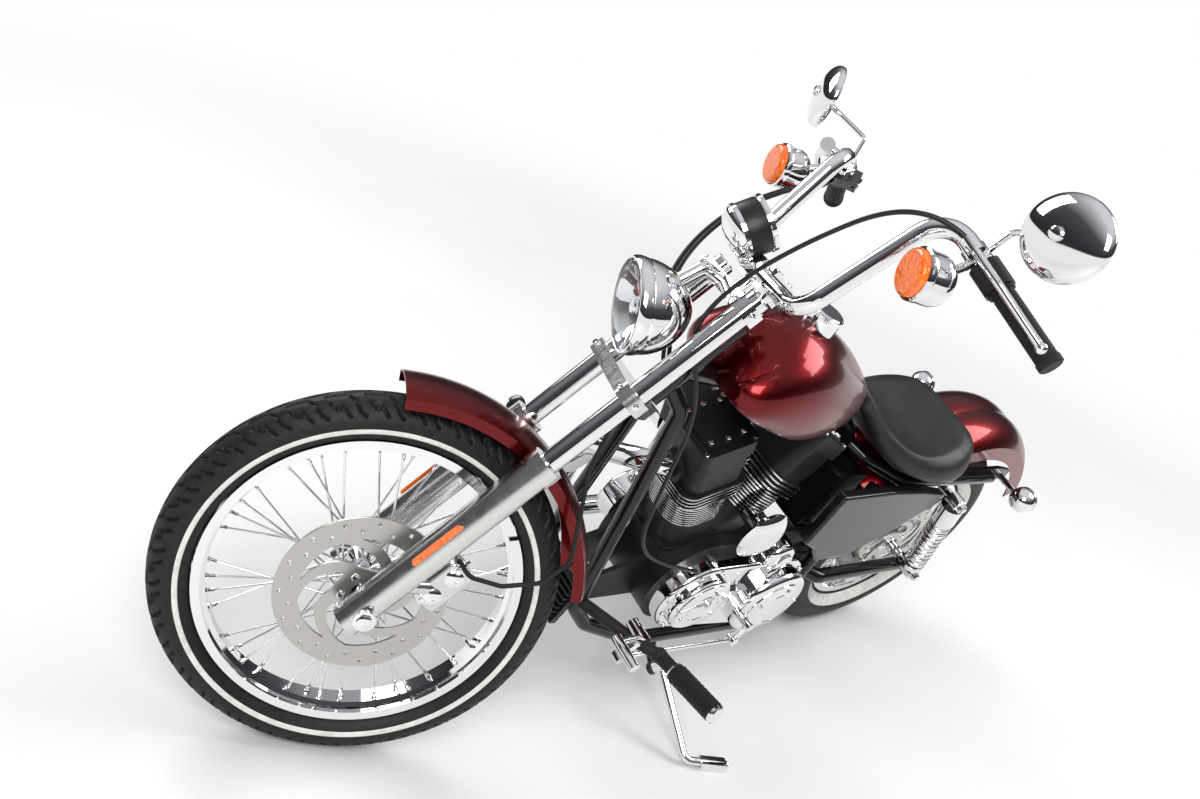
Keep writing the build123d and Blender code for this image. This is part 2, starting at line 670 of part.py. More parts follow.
LOOP_NOSE = fork_point(0, 612, -FORK_OFFSET)
UPRIGHT_Y = 113
loops = {}
for name, side in (("frame_loop_left", 1), ("frame_loop_right", -1)):
    with BuildPart() as loop:
        tube(
            [
                LOOP_NOSE + Vector(-8, side * 10, 0),
                (1128, side * 40, 812),
                (1060, side * 72, 300),
                (1020, side * 90, 262),
                (870, side * 115, RAIL_Z),
                (500, side * UPRIGHT_Y, RAIL_Z - 28),
                (432, side * UPRIGHT_Y, 300),
                (430, side * 107, 630),
            ],
            RAIL_R,
            32,
        )
        rod((FRONT_MOUNT.X, 0, FRONT_MOUNT.Z), (FRONT_MOUNT.X, side * 72, FRONT_MOUNT.Z), MOUNT_R)
        rod((530, 0, RAIL_Z - 26), (530, side * UPRIGHT_Y, RAIL_Z - 26), MOUNT_R)
        if side > 0:
            lug = STAND_EYE - STAND_LUG_WAY * 22
            rail = Vector(STAND_EYE.X, 115, RAIL_Z - 6)
            inward = rail - STAND_EYE
            inward = (inward - STAND_LUG_WAY * inward.dot(STAND_LUG_WAY)).normalized()
            rod(STAND_EYE - STAND_LUG_WAY * (STAND_EYE_HALF + RUN_GAP), STAND_EYE - STAND_LUG_WAY * 29, 14)
            tube([lug - STAND_LUG_WAY * 0.5, lug + inward * 22, rail], 7, 8)
            rod(STAND_EYE - STAND_LUG_WAY * 16, STAND_EYE + STAND_LUG_WAY * 17, STAND_PIN_R)
            rod(STAND_EYE + STAND_LUG_WAY * (STAND_EYE_HALF + RUN_GAP), STAND_EYE + STAND_LUG_WAY * 20, 9)
        add(spine.part, mode=Mode.SUBTRACT)
        with Locations((1000, -side * 250, 600)):
            Box(1400, 500, 900, mode=Mode.SUBTRACT)
        largest = loop.solids().sort_by(SortBy.VOLUME)[-1]
    with BuildPart() as rails:
        add(largest)
    loops[name] = rails
    keep(name, rails)

STRUT_Y = REAR_FENDER_HALF + SEAT_GAP
STRUT_T = 10
with BuildPart() as rear_frame:
    for side in (-1, 1):
        tube([(470, 0, 668), (440, side * 60, 660), (330, side * 110, 636), (-60, side * 110, 620)], 13, 30)
    rod((PIVOT.X, -UPRIGHT_Y, PIVOT.Z), (PIVOT.X, UPRIGHT_Y, PIVOT.Z), PIVOT_R)
    rod((REAR_MOUNT.X, -UPRIGHT_Y, REAR_MOUNT.Z), (REAR_MOUNT.X, UPRIGHT_Y, REAR_MOUNT.Z), MOUNT_R)
    for side in (-1, 1):
        with BuildSketch(across(side * (STRUT_Y + STRUT_T / 2))):
            with BuildLine():
                Polyline((300, 606), (300, 652), (100, 649), (-90, 642), (-150, 630), (-150, 606), (-80, 598), close=True)
            make_face()
        extrude(amount=STRUT_T / 2, both=True)
    add(spine.part, mode=Mode.SUBTRACT)
    for loop in loops.values():
        add(loop.part, mode=Mode.SUBTRACT)

# Engine
with BuildPart() as crankcase:
    with BuildSketch(across(-CASE_HALF)):
        with Locations((CRANK.X, CRANK.Z)):
            Circle(CASE_R)
        with Locations((GEARBOX.X, GEARBOX.Z)):
            Circle(GEARBOX_R)
        make_hull()
    extrude(amount=-2 * CASE_HALF)
    for side in (-1, 1):
        with BuildSketch(across(side * 44)):
            with BuildLine():
                Polyline((850, 420), (FRONT_MOUNT.X + 18, 332), (FRONT_MOUNT.X + 18, 284), (850, 276), close=True)
            make_face()
        extrude(amount=5, both=True)
        with BuildSketch(across(side * 60)):
            with BuildLine():
                Polyline((560, 446), (REAR_MOUNT.X - 18, REAR_MOUNT.Z + 18), (REAR_MOUNT.X - 18, REAR_MOUNT.Z - 18), (560, 370), close=True)
            make_face()
        extrude(amount=5, both=True)


def bank_plane(sign, height):
    """The plane across one cylinder's bore: X forward along the deck, Y left."""
    lean = radians(BANK * sign)
    way = Vector(sin(lean), 0, cos(lean))
    return Plane(origin=CRANK + way * height, x_dir=(cos(lean), 0, -sin(lean)), z_dir=way)


def bank_point(sign, height, forward, left):
    """A point by one cylinder: up its bore, along its deck, and to the left."""
    return bank_plane(sign, height).from_local_coords(Vector(forward, left, 0))


def half_space(sign):
    """Cuts away what lies on the other bank's side of the engine's middle plane."""
    with Locations((CRANK.X - sign * 299.5, 0, 600)):
        Box(600, 600, 600, mode=Mode.SUBTRACT)


with BuildPart() as case:
    add(crankcase.part)
    for sign in (1, -1):
        with BuildSketch(bank_plane(sign, 50)):
            RectangleRounded(136, 130, 30)
        extrude(amount=DECK - 50)
    for bar in (FRONT_MOUNT, REAR_MOUNT):
        rod((bar.X, -80, bar.Z), (bar.X, 80, bar.Z), MOUNT_R + SEAT_GAP, mode=Mode.SUBTRACT)
    rod((PIVOT.X, -80, PIVOT.Z), (PIVOT.X, 80, PIVOT.Z), 36, mode=Mode.SUBTRACT)
crankcase = case
keep("crankcase", crankcase)

FIN_START = BARREL_LOW + 3
FIN_COUNT = int((BARREL_TOP - FIN_START) / FIN_PITCH)
HEAD_FINS = 4
BARREL_FIN_HALF = 66
cylinders = {}
for name, sign in (("cylinder_front", 1), ("cylinder_rear", -1)):
    with BuildPart() as cylinder:
        with BuildSketch(bank_plane(sign, DECK + SEAT_GAP)):
            RectangleRounded(132, 126, 46)
        extrude(amount=BARREL_LOW - DECK - SEAT_GAP)
        with BuildSketch(bank_plane(sign, BARREL_LOW)):
            Circle(54)
        extrude(amount=BARREL_TOP - BARREL_LOW)
        with BuildSketch(*[bank_plane(sign, FIN_START + k * FIN_PITCH) for k in range(FIN_COUNT)]):
            RectangleRounded(140, 2 * BARREL_FIN_HALF, 52)
        extrude(amount=FIN_T)
        with BuildSketch(bank_plane(sign, BARREL_TOP)):
            RectangleRounded(124, 130, 26)
        extrude(amount=HEAD_TOP - BARREL_TOP)
        with BuildSketch(*[bank_plane(sign, BARREL_TOP + k * 10) for k in range(HEAD_FINS)]):
            RectangleRounded(150, 144, 30)
        extrude(amount=FIN_T)
        with BuildSketch(bank_plane(sign, HEAD_TOP - 38)):
            with Locations((0, -84)):
                RectangleRounded(80, 50, 12)
        extrude(amount=38)
        with Locations(Plane(origin=bank_point(sign, 315, sign * 54, 0), z_dir=bank_plane(sign, 0).x_dir * sign)):
            Cylinder(31, 20, align=(Align.CENTER, Align.CENTER, Align.MIN))
        half_space(sign)
        add(crankcase.part, mode=Mode.SUBTRACT)
    cylinders[name] = cylinder
with BuildPart() as both_cylinders:
    for cylinder in cylinders.values():
        add(cylinder.part)
keep("cylinders", both_cylinders)

covers = {}
for name, sign in (("rocker_cover_front", 1), ("rocker_cover_rear", -1)):
    with BuildPart() as cover:
        with BuildSketch(bank_plane(sign, HEAD_TOP + SEAT_GAP)):
            RectangleRounded(128, 136, 18)
            with Locations((0, -84)):
                RectangleRounded(80, 50, 12)
        extrude(amount=COVER_TOP - HEAD_TOP - SEAT_GAP)
        with BuildSketch(bank_plane(sign, COVER_TOP)):
            RectangleRounded(96, 104, 16)
        extrude(amount=5)
        half_space(sign)
    covers[name] = cover
with BuildPart() as rocker_covers:
    for cover in covers.values():
        add(cover.part)
keep("rocker_covers", rocker_covers)

# x, z, radius, outer y of each round of the primary cover
PRIMARY_Y = CASE_HALF + SEAT_GAP
PRIMARY_LIP = 132
PRIMARY_PANEL = 140
PRIMARY_FRONT = (790, 345, 94, 150)
PRIMARY_REAR = (560, 322, 108, 168)
primary_bosses = []
for (x, z, radius, face_y), inset, rounding in ((PRIMARY_FRONT, 20, 8), (PRIMARY_REAR, 14, 18)):
    with BuildPart() as boss:
        with Locations(Plane(origin=(x, PRIMARY_LIP - 6, z), z_dir=LEFT)):
            Cylinder(radius - inset, face_y - PRIMARY_LIP + 6, align=(Align.CENTER, Align.CENTER, Align.MIN))
        fillet(boss.faces().sort_by(Axis.Y)[-1].edges(), rounding)
    primary_bosses.append(boss)
with BuildPart() as starter_dome:
    with Locations(Plane(origin=(604, PRIMARY_Y, 446), z_dir=LEFT)):
        Cylinder(38, 46, align=(Align.CENTER, Align.CENTER, Align.MIN))
    fillet(starter_dome.faces().sort_by(Axis.Y)[-1].edges(), 16)
with BuildPart() as primary:
    with BuildSketch(across(PRIMARY_Y)):
        for x, z, radius, _ in (PRIMARY_FRONT, PRIMARY_REAR):
            with Locations((x, z)):
                Circle(radius)
        make_hull()
    extrude(amount=-(PRIMARY_LIP - PRIMARY_Y))
    fillet(primary.faces().sort_by(Axis.Y)[-1].edges(), 10)
    for boss in (*primary_bosses, starter_dome):
        add(boss.part)
    with BuildSketch(across(PRIMARY_LIP - 6)):
        with BuildLine():
            Polyline((770, 372), (600, 356), (600, 300), (770, 318), close=True)
        make_face()
    extrude(amount=-(PRIMARY_PANEL - PRIMARY_LIP + 6))
    for solid in (rear_frame, *loops.values()):
        add(solid.part, mode=Mode.SUBTRACT)
keep("primary_cover", primary)

GEAR_Y = -144
with BuildPart() as gear_cover:
    with BuildSketch(across(GEAR_Y)):
        with Locations((840, 384), (730, 394)):
            Circle(62)
        with Locations((590, 365)):
            Circle(80)
        make_hull()
    extrude(amount=-(-CASE_HALF - SEAT_GAP - GEAR_Y))
    fillet(gear_cover.faces().sort_by(Axis.Y)[0].edges(), 12)
keep("gear_cover", gear_cover)

PUSHROD_R = 9.5
with BuildPart() as pushrods:
    for sign in (1, -1):
        for step in (-1, 1):
            foot = Vector(CRANK.X + sign * (53 + 22 * step), -118, 436)
            head = bank_point(sign, HEAD_TOP - 38 - SEAT_GAP, sign * 20 * step, -90)
            rod(foot, head, PUSHROD_R)
            rod(foot, foot + (head - foot) * 0.16, PUSHROD_R + 3)
    for solid in (gear_cover, *cylinders.values()):
        add(solid.part, mode=Mode.SUBTRACT)
keep("pushrod_tubes", pushrods)

INTAKE_Z = 612
FILTER_R = 92
with BuildPart() as filter_pan:
    with Locations(Plane(origin=(CRANK.X, -148, INTAKE_Z + 6), z_dir=-LEFT)):
        Cylinder(FILTER_R, 62, align=(Align.CENTER, Align.CENTER, Align.MIN))
    fillet(filter_pan.faces().sort_by(Axis.Y)[0].edges(), 14)
with BuildPart() as air_cleaner:
    rod((CRANK.X - 60, -10, INTAKE_Z), (CRANK.X + 60, -10, INTAKE_Z), 20)
    rod((CRANK.X, -10, INTAKE_Z), (CRANK.X, -150, INTAKE_Z), 24)
    add(filter_pan.part)
    for solid in (*cylinders.values(), *covers.values(), pushrods):
        add(solid.part, mode=Mode.SUBTRACT)
keep("air_cleaner", air_cleaner)

HORN = Vector(740, 128, 535)
HORN_R = 62
with BuildPart() as horn_dome:
    with BuildSketch(Plane.XZ):
        with BuildLine():
            Polyline((0, 18), (0, -8), (HORN_R - 6, -8), (HORN_R, 0))
            ThreePointArc((HORN_R, 0), (HORN_R * 0.74, 12), (HORN_R * 0.4, 18))
            Line((HORN_R * 0.4, 18), (0, 18))
        make_face()
    revolve(axis=Axis.Z)
with BuildPart() as horn:
    with Locations(Plane(origin=HORN, z_dir=LEFT)):
        add(horn_dome.part)
    rod((HORN.X, BARREL_FIN_HALF + SEAT_GAP, HORN.Z), (HORN.X, HORN.Y - 6, HORN.Z), 15)
keep("horn", horn)

REGULATOR_TILT = (1, 0, 0.133)
with BuildPart() as finned_box:
    Box(150, 112, 16, align=(Align.CENTER, Align.CENTER, Align.MIN))
    with Locations(*[(0, -50 + k * 12.5, 16) for k in range(9)]):
        Box(142, 4, 16, align=(Align.CENTER, Align.CENTER, Align.MIN))
with BuildPart() as regulator:
    with Locations(Plane(origin=(FRONT_MOUNT.X + RAIL_R, 0, FRONT_MOUNT.Z + 4), x_dir=LEFT, z_dir=REGULATOR_TILT)):
        add(finned_box.part)
    for solid in (crankcase, *loops.values()):
        add(solid.part, mode=Mode.SUBTRACT)
    rod((FRONT_MOUNT.X - 2, -60, FRONT_MOUNT.Z), (FRONT_MOUNT.X - 2, 60, FRONT_MOUNT.Z), 22, mode=Mode.SUBTRACT)
keep("regulator", regulator)

# Exhausts on the right: route of the pipe, where its muffler ends, and its way out of the head
PIPE_R = 22
MUFFLER_R = 40
FRONT_PORT = bank_point(1, 315, 70, 0)
REAR_PORT = bank_point(-1, 315, -70, 0)
exhausts = {}
for name, route, end_x in (
    (
        "exhaust_front",
        [
            FRONT_PORT, (1010, -46, 592), (1000, -150, 510), (955, -206, 400),
            (905, -228, 250), (830, -232, 214), (420, -232, 216),
        ],
        -250,
    ),
    (
        "exhaust_rear",
        [
            REAR_PORT, (562, -52, 596), (556, -160, 500), (515, -216, 392),
            (430, -234, 318), (300, -234, 304),
        ],
        -330,
    ),
):
    with BuildPart() as exhaust:
        tube(route, PIPE_R, 38, bore=PIPE_R - 2)
        tail = Vector(*route[-1])
        end = Vector(end_x, tail.Y - 4, tail.Z + 22)
        out = (end - tail).normalized()
        rod(tail + Vector(6, 0, 0), end, MUFFLER_R)
        rod(tail + Vector(26, 0, 0), tail + Vector(6.5, 0, 0), PIPE_R + 6)
        rod(end - out * 60, end + out, MUFFLER_R - 3, mode=Mode.SUBTRACT)
        for solid in cylinders.values():
            add(solid.part, mode=Mode.SUBTRACT)
        whole = exhaust.solids().sort_by(SortBy.VOLUME)[-1]
    exhausts[name] = whole
with BuildPart() as exhaust:
    for solid in exhausts.values():
        add(solid)
keep("exhausts", exhaust)

# Fuel tank, seat and fenders
# x, low z, low half, middle z, middle half, shoulder z, shoulder half, crest z
TANK = (
    (1064, 862, 60, 876, 74, 894, 52, 900),
    (1040, 850, 92, 880, 106, 922, 66, 934),
    (985, 830, 102, 886, 122, 956, 68, 974),
    (900, 802, 106, 872, 127, 968, 68, 991),
    (800, 784, 96, 848, 116, 938, 58, 966),
    (690, 782, 66, 826, 84, 888, 42, 912),
    (610, 794, 34, 818, 44, 850, 24, 862),
    (568, 806, 16, 818, 21, 830, 11, 834),
)


def body_section(row, low_r, top_r):
    """A section with a flat underside, bulging sides and a crowned top."""
    x, low_z, low_half, mid_z, mid_half, top_z, top_half, crest_z = row
    with BuildSketch(Plane(origin=(x, 0, 0), x_dir=(0, 1, 0), z_dir=(1, 0, 0))) as face:
        with BuildLine():
            Line((-low_half, low_z), (low_half, low_z))
            ThreePointArc((low_half, low_z), (mid_half, mid_z), (top_half, top_z))
            ThreePointArc((top_half, top_z), (0, crest_z), (-top_half, top_z))
            ThreePointArc((-top_half, top_z), (-mid_half, mid_z), (-low_half, low_z))
        make_face()
        corners = face.vertices().group_by(Axis.Y)
        fillet(corners[0], low_r)
        fillet(corners[-1], top_r)
    return face.sketch


def smooth_body(rows):
    """Lofts a body along the bike through its table of sections."""
    with BuildPart() as body:
        loft(sections=[body_section(row, 3 + row[2] * 0.1, row[6] * 0.4) for row in rows])
    return body


TUNNEL_HALF = SPINE_R + SEAT_GAP
tank_body = smooth_body(TANK)
with BuildPart() as tank:
    add(tank_body.part)
    tube([SPINE_NOSE, SPINE_KNEE, SPINE_REAR], TUNNEL_HALF, 50, mode=Mode.SUBTRACT)
    with BuildSketch(across(-TUNNEL_HALF)):
        with BuildLine():
            Polyline(
                (SPINE_NOSE.X, SPINE_NOSE.Z), (SPINE_KNEE.X, SPINE_KNEE.Z), (SPINE_REAR.X, SPINE_REAR.Z),
                (SPINE_REAR.X, 640), (SPINE_NOSE.X, 640), close=True,
            )
        make_face()
    extrude(amount=-2 * TUNNEL_HALF, mode=Mode.SUBTRACT)
keep("fuel_tank", tank)
with BuildPart() as cap:
    rod((872, 0, 965), (869, 0, 1018), 33)
    fillet(cap.faces().sort_by(Axis.Z)[-1].edges(), 9)
    add(tank_body.part, mode=Mode.SUBTRACT)
keep("fuel_cap", cap)

SEAT = (
    (564, 784, 22, 806, 32, 830, 20, 838),
    (490, 730, 60, 752, 78, 776, 54, 780),
    (400, 676, 106, 702, 126, 730, 94, 726),
    (300, 658, 136, 688, 153, 724, 120, 715),
    (200, 652, 134, 692, 150, 744, 114, 739),
    (132, 690, 68, 716, 84, 748, 60, 751),
)
REAR_DROP = 74
rear_guard = fender(REAR_AXLE, REAR_FENDER_R, REAR_FENDER_HALF, REAR_DROP, 34, 148)
guard_room = fender(
    REAR_AXLE, REAR_FENDER_R + SEAT_GAP, REAR_FENDER_HALF + SEAT_GAP, REAR_DROP, 20, 160, REAR_TYRE_R - 100
)
seat_body = smooth_body(SEAT)
with BuildPart() as seat:
    add(seat_body.part)
    add(guard_room.part, mode=Mode.SUBTRACT)
keep("seat", seat)

with BuildPart() as rear_fender:
    add(rear_guard.part)
    for solid in (spine, rear_frame, *loops.values()):
        add(solid.part, mode=Mode.SUBTRACT)
keep("fender_rear", rear_fender)
keep("frame_rear", rear_frame)

OIL_TANK_AT = (475, -122, 560)
with BuildPart() as oil_tank:
    with Locations(OIL_TANK_AT):
        Box(110, 60, 160)
    fillet(oil_tank.edges(), 16)
    for solid in (spine, rear_frame, *loops.values()):
        add(solid.part, mode=Mode.SUBTRACT)

SIDE_COVER_Y = 128
SIDE_COVER_T = 22
with BuildPart() as side_cover:
    with BuildSketch(across(SIDE_COVER_Y)) as cover_face:
        with BuildLine():
            Polyline(
                (600, 655), (420, 655), (300, 645), (190, 625), (190, 600),
                (310, 492), (400, 446), (500, 440), (548, 486), (600, 512), close=True,
            )
        make_face()
        fillet(cover_face.vertices(), 8)
    extrude(amount=-SIDE_COVER_T)
    fillet(side_cover.faces().sort_by(Axis.Y)[-1].edges(), 7)
    rod((431, 100, 560), (431, SIDE_COVER_Y + 2, 560), 9)
    rod((300, 108, 632), (300, SIDE_COVER_Y + 2, 632), 8)
    for solid in (rear_frame, *loops.values()):
        add(solid.part, mode=Mode.SUBTRACT)
keep("side_cover", side_cover)
with BuildPart() as battery_box:
    with Locations((478, 0, 556)):
        Box(104, 150, 150)
    for solid in (spine, rear_frame, *loops.values(), oil_tank, side_cover, guard_room):
        add(solid.part, mode=Mode.SUBTRACT)
with BuildPart() as tank_and_box:
    add(oil_tank.part)
    add(battery_box.part)
keep("oil_tank", tank_and_box)

# Rear suspension and axle
ARM_Y = 122
ARM_R = 17
SHOCK_Y = 160
with BuildPart() as swingarm:
    for side in (-1, 1):
        tube([(PIVOT.X, side * 60, PIVOT.Z), (362, side * ARM_Y, 333), (-34, side * ARM_Y, REAR_TYRE_R)], ARM_R, 24)
    rod((PIVOT.X, -66, PIVOT.Z), (PIVOT.X, 66, PIVOT.Z), 30)
    rod((PIVOT.X, -140, PIVOT.Z), (PIVOT.X, 140, PIVOT.Z), PIVOT_R + 0.1, mode=Mode.SUBTRACT)
    rod((0, -150, REAR_TYRE_R), (0, 150, REAR_TYRE_R), AXLE_R + 0.05, mode=Mode.SUBTRACT)
    for loop in loops.values():
        add(loop.part, mode=Mode.SUBTRACT)
keep("swingarm", swingarm)
PULLEY_FACE = 95
PULLEY_INNER = 77
PULLEY_R = 104
ARM_INNER = ARM_Y - ARM_R
ARM_OUTER = ARM_Y + ARM_R
with BuildPart() as rear_axle:
    rod((0, -ARM_OUTER - 14, REAR_TYRE_R), (0, ARM_OUTER + 14, REAR_TYRE_R), AXLE_R)
    rod((0, -ARM_OUTER - 11, REAR_TYRE_R), (0, -ARM_OUTER - SEAT_GAP, REAR_TYRE_R), 15)
    rod((0, ARM_OUTER + SEAT_GAP, REAR_TYRE_R), (0, ARM_OUTER + 12, REAR_TYRE_R), 17)
    for side, inner in ((1, REAR_DISC[3] + DISC_T), (-1, PULLEY_FACE)):
        rod(
            (0, side * (inner + RUN_GAP), REAR_TYRE_R), (0, side * (ARM_INNER - SEAT_GAP), REAR_TYRE_R), SPACER_R
        )
    rod((0, -ARM_OUTER - 15, REAR_TYRE_R), (0, ARM_OUTER + 15, REAR_TYRE_R), 5, mode=Mode.SUBTRACT)
keep("axle_rear", rear_axle)
SHOCK_TOP = Vector(150, SHOCK_Y, 613)
SHOCK_FOOT = Vector(48, SHOCK_Y, 353)
SHOCK_LENGTH = (SHOCK_TOP - SHOCK_FOOT).length
SHOCK_SHAFT_R = 16
COIL_COUNT = 12
COIL_PITCH = 13.2
COIL_HALF = 4.4
COIL_START = 44
with BuildPart() as coil_unit:
    with BuildSketch(Plane.XZ):
        with BuildLine():
            shaft = SHOCK_SHAFT_R
            Polyline((0, 0), (shaft, 0), (shaft, 22), (26, 22), (26, 35), (shaft, 35), (shaft, COIL_START - COIL_HALF))
            for k in range(COIL_COUNT):
                z = COIL_START + k * COIL_PITCH
                ThreePointArc((shaft, z - COIL_HALF), (shaft + 8.5, z), (shaft, z + COIL_HALF))
                Line((shaft, z + COIL_HALF), (shaft, z + COIL_PITCH - COIL_HALF))
            last = COIL_START + COIL_COUNT * COIL_PITCH - COIL_HALF
            Polyline((shaft, last), (24, last + 6), (28, last + 12), (28, SHOCK_LENGTH - 12), (22, SHOCK_LENGTH - 4),
                     (0, SHOCK_LENGTH - 4), (0, 0))
        make_face()
    revolve(axis=Axis.Z)
shocks = []
for side in (1, -1):
    top = flip(SHOCK_TOP, side)
    foot = flip(SHOCK_FOOT, side)
    with BuildPart() as shock:
        with Locations(Plane(origin=foot, z_dir=top - foot)):
            add(coil_unit.part)
        for eye in (foot, top):
            rod(eye - LEFT * 16, eye + LEFT * 16, 18)
            rod(eye, eye + LEFT * side * 24, 12)
        rod(foot - LEFT * side * (SHOCK_Y - ARM_Y), foot, 8)
        rod(top - LEFT * side * (SHOCK_Y - STRUT_Y - STRUT_T / 2), top, 9)
        for solid in (swingarm, rear_frame):
            add(solid.part, mode=Mode.SUBTRACT)
        largest = shock.solids().sort_by(SortBy.VOLUME)[-1]
    shocks.append(largest)
with BuildPart() as both_shocks:
    for shock in shocks:
        add(shock)
keep("shocks", both_shocks)

with BuildPart() as rear_caliper_body:
    Box(60, 76, 44)
    fillet(rear_caliper_body.edges().filter_by(Axis.Z), 12)
    fillet(rear_caliper_body.faces().sort_by(Axis.Z)[-1].edges(), 5)
with BuildPart() as rear_caliper:
    with Locations(Plane(origin=(112, REAR_DISC[3] + 8, 268), x_dir=(1, 0, -1), z_dir=LEFT)):
        add(rear_caliper_body.part)
    rod((112, 84, 284), (112, ARM_Y, 328), 12)
    with Locations(Plane(origin=(0, REAR_DISC[3] + DISC_T / 2, REAR_TYRE_R), z_dir=LEFT)):
        Cylinder(REAR_DISC[0] + MOVE_GAP, DISC_T + 2 * MOVE_GAP, mode=Mode.SUBTRACT)
    add(swingarm.part, mode=Mode.SUBTRACT)
keep("caliper_rear", rear_caliper)

# Belt drive on the right
SPROCKET = Vector(555, 0, 345)
SPROCKET_R = 37
BELT_T = 7
with BuildPart() as pulley:
    with BuildSketch(wheel_section(REAR_AXLE)):
        with BuildLine():
            Polyline(
                (20, -REAR_HUB_HALF - SEAT_GAP),
                (44, -REAR_HUB_HALF - SEAT_GAP),
                (44, -PULLEY_INNER),
                (PULLEY_R, -PULLEY_INNER),
                (PULLEY_R, -PULLEY_FACE),
                (PULLEY_R - 12, -PULLEY_FACE),
                (PULLEY_R - 12, -PULLEY_FACE + 9),
                (38, -PULLEY_FACE + 9),
                (38, -PULLEY_FACE + 2),
                (20, -PULLEY_FACE + 2),
                close=True,
            )
        make_face()
    revolve(axis=Axis(REAR_AXLE, (0, 1, 0)))
    with Locations(Plane(origin=REAR_AXLE, x_dir=(1, 0, 0), z_dir=-LEFT)):
        with PolarLocations(66, 5):
            Cylinder(17, 240, mode=Mode.SUBTRACT)
keep("pulley_rear", pulley)
with BuildPart() as belt:
    with BuildSketch(across(-PULLEY_INNER)):
        with Locations((0, REAR_TYRE_R)):
            Circle(PULLEY_R + MOVE_GAP + BELT_T)
        with Locations((SPROCKET.X, SPROCKET.Z)):
            Circle(SPROCKET_R + BELT_T)
        make_hull()
    extrude(amount=PULLEY_FACE - PULLEY_INNER)
    with BuildSketch(across(-PULLEY_INNER + 1)):
        with Locations((0, REAR_TYRE_R)):
            Circle(PULLEY_R + MOVE_GAP)
        with Locations((SPROCKET.X, SPROCKET.Z)):
            Circle(SPROCKET_R)
        make_hull()
    extrude(amount=PULLEY_FACE - PULLEY_INNER + 2, mode=Mode.SUBTRACT)
    for solid in (crankcase, gear_cover, swingarm):
        add(solid.part, mode=Mode.SUBTRACT)
    whole = belt.solids().sort_by(SortBy.VOLUME)[-1]
with BuildPart() as drive_belt:
    add(whole)
keep("drive_belt", drive_belt)

# Lamps at the rear, foot controls
REAR_SIGNAL = Vector(-88, 194, 631)
with BuildPart() as rear_signals:
    for side in (-1, 1):
        centre = flip(REAR_SIGNAL, side)
        rod((-112, side * (STRUT_Y + STRUT_T + SEAT_GAP), 617), centre, 8)
        with Locations(centre):
            Sphere(31)
    add(rear_frame.part, mode=Mode.SUBTRACT)
keep("signals_rear", rear_signals)

PEG_ELBOW = Vector(985, 240, 352)
PEG_END = Vector(978, 396, 384)
with BuildPart() as foot_pegs:
    for side in (-1, 1):
        out = (PEG_END - PEG_ELBOW).normalized()
        tube([(1063, side * 71, 322), (1012, side * 188, 340), flip(PEG_ELBOW, side)], 12, 20)
        with Locations(flip(PEG_ELBOW, side)):
            Sphere(16)
        rod(flip(PEG_ELBOW, side), flip(PEG_ELBOW + out * 46, side), 14)
        rod(flip(PEG_ELBOW + out * 44, side), flip(PEG_END, side), 19)
        rod(flip(PEG_END, side), flip(PEG_END + Vector(0, 0, -22), side), 4)
    for loop in loops.values():
        add(loop.part, mode=Mode.SUBTRACT)
keep("foot_pegs", foot_pegs)
PIVOT_Z = 366.4
with BuildPart() as foot_levers:
    for side, tip_y, tip_r in ((1, 276, 11), (-1, 286, 14)):
        rod((1016, side * 166, PIVOT_Z), (1016, side * 215, PIVOT_Z), 13)
        tube([(1016, side * 208, PIVOT_Z), (1058, side * 214, 389), (1112, side * 218, 395)], 6, 12)
        rod((1108, side * 206, 394), (1108, side * tip_y, 394), tip_r)
    rod((1016, 205, PIVOT_Z), (1046, 205, 317), 8)
    rod((1046, 205, 317), (690, 205, 286), 5)
    rod((690, 205, 286), (676, 205, 330), 7)
    rod((676, PRIMARY_PANEL + SEAT_GAP, 330), (676, 214, 330), 10)
    for x, z in ((1046, 317), (690, 286)):
        rod((x, 195, z), (x, 215, z), 10.5)
keep("foot_levers", foot_levers)

# Cables held by the bike: fork points first, turned with the fork, then frame points
CABLE_R = 4.0
clutch_fork = [
    grip_point(1, PERCH_START - 0.4, LEVER_REACH),
    Vector(985, 246, 1294),
    Vector(1048, 200, 1268),
    Vector(1100, 136, 1180),
    Vector(1150, 100, 1095),
    Vector(1180, 74, 1015),
    Vector(1182, 57, 950),
]
clutch_frame = [
    Vector(1148, 50, 880), Vector(1108, 66, 792), Vector(1082, 80, 640),
    Vector(1046, 92, 500), Vector(952, 110, 452), Vector(842, 117, 426),
]
with BuildPart() as clutch_cable:
    tube([steered_point(p) for p in clutch_fork] + clutch_frame, CABLE_R, 26)
    add(primary.part, mode=Mode.SUBTRACT)
keep("clutch_cable", clutch_cable)

throttle_fork = [
    grip_point(-1, 112, 0, -26),
    Vector(926, -262, 1206),
    Vector(972, -230, 1200),
    Vector(1016, -205, 1184),
    Vector(1092, -182, 1132),
    Vector(1146, -152, 1072),
    Vector(1182, -112, 1014),
    Vector(1196, -66, 966),
    Vector(1180, -46, 924),
]
throttle_frame = [
    Vector(1140, -48, 880), Vector(1104, -50, 824), Vector(1000, -50, 796),
    Vector(900, -44, 778), Vector(836, -42, 752), Vector(798, -42, 692), Vector(790, -42, 638),
]
with BuildPart() as throttle_cables:
    for aside in (Vector(0, 0, 0), Vector(5, -8, -3)):
        tube([steered_point(p + aside) for p in throttle_fork] + [p + aside for p in throttle_frame], CABLE_R, 22)
keep("throttle_cables", throttle_cables)

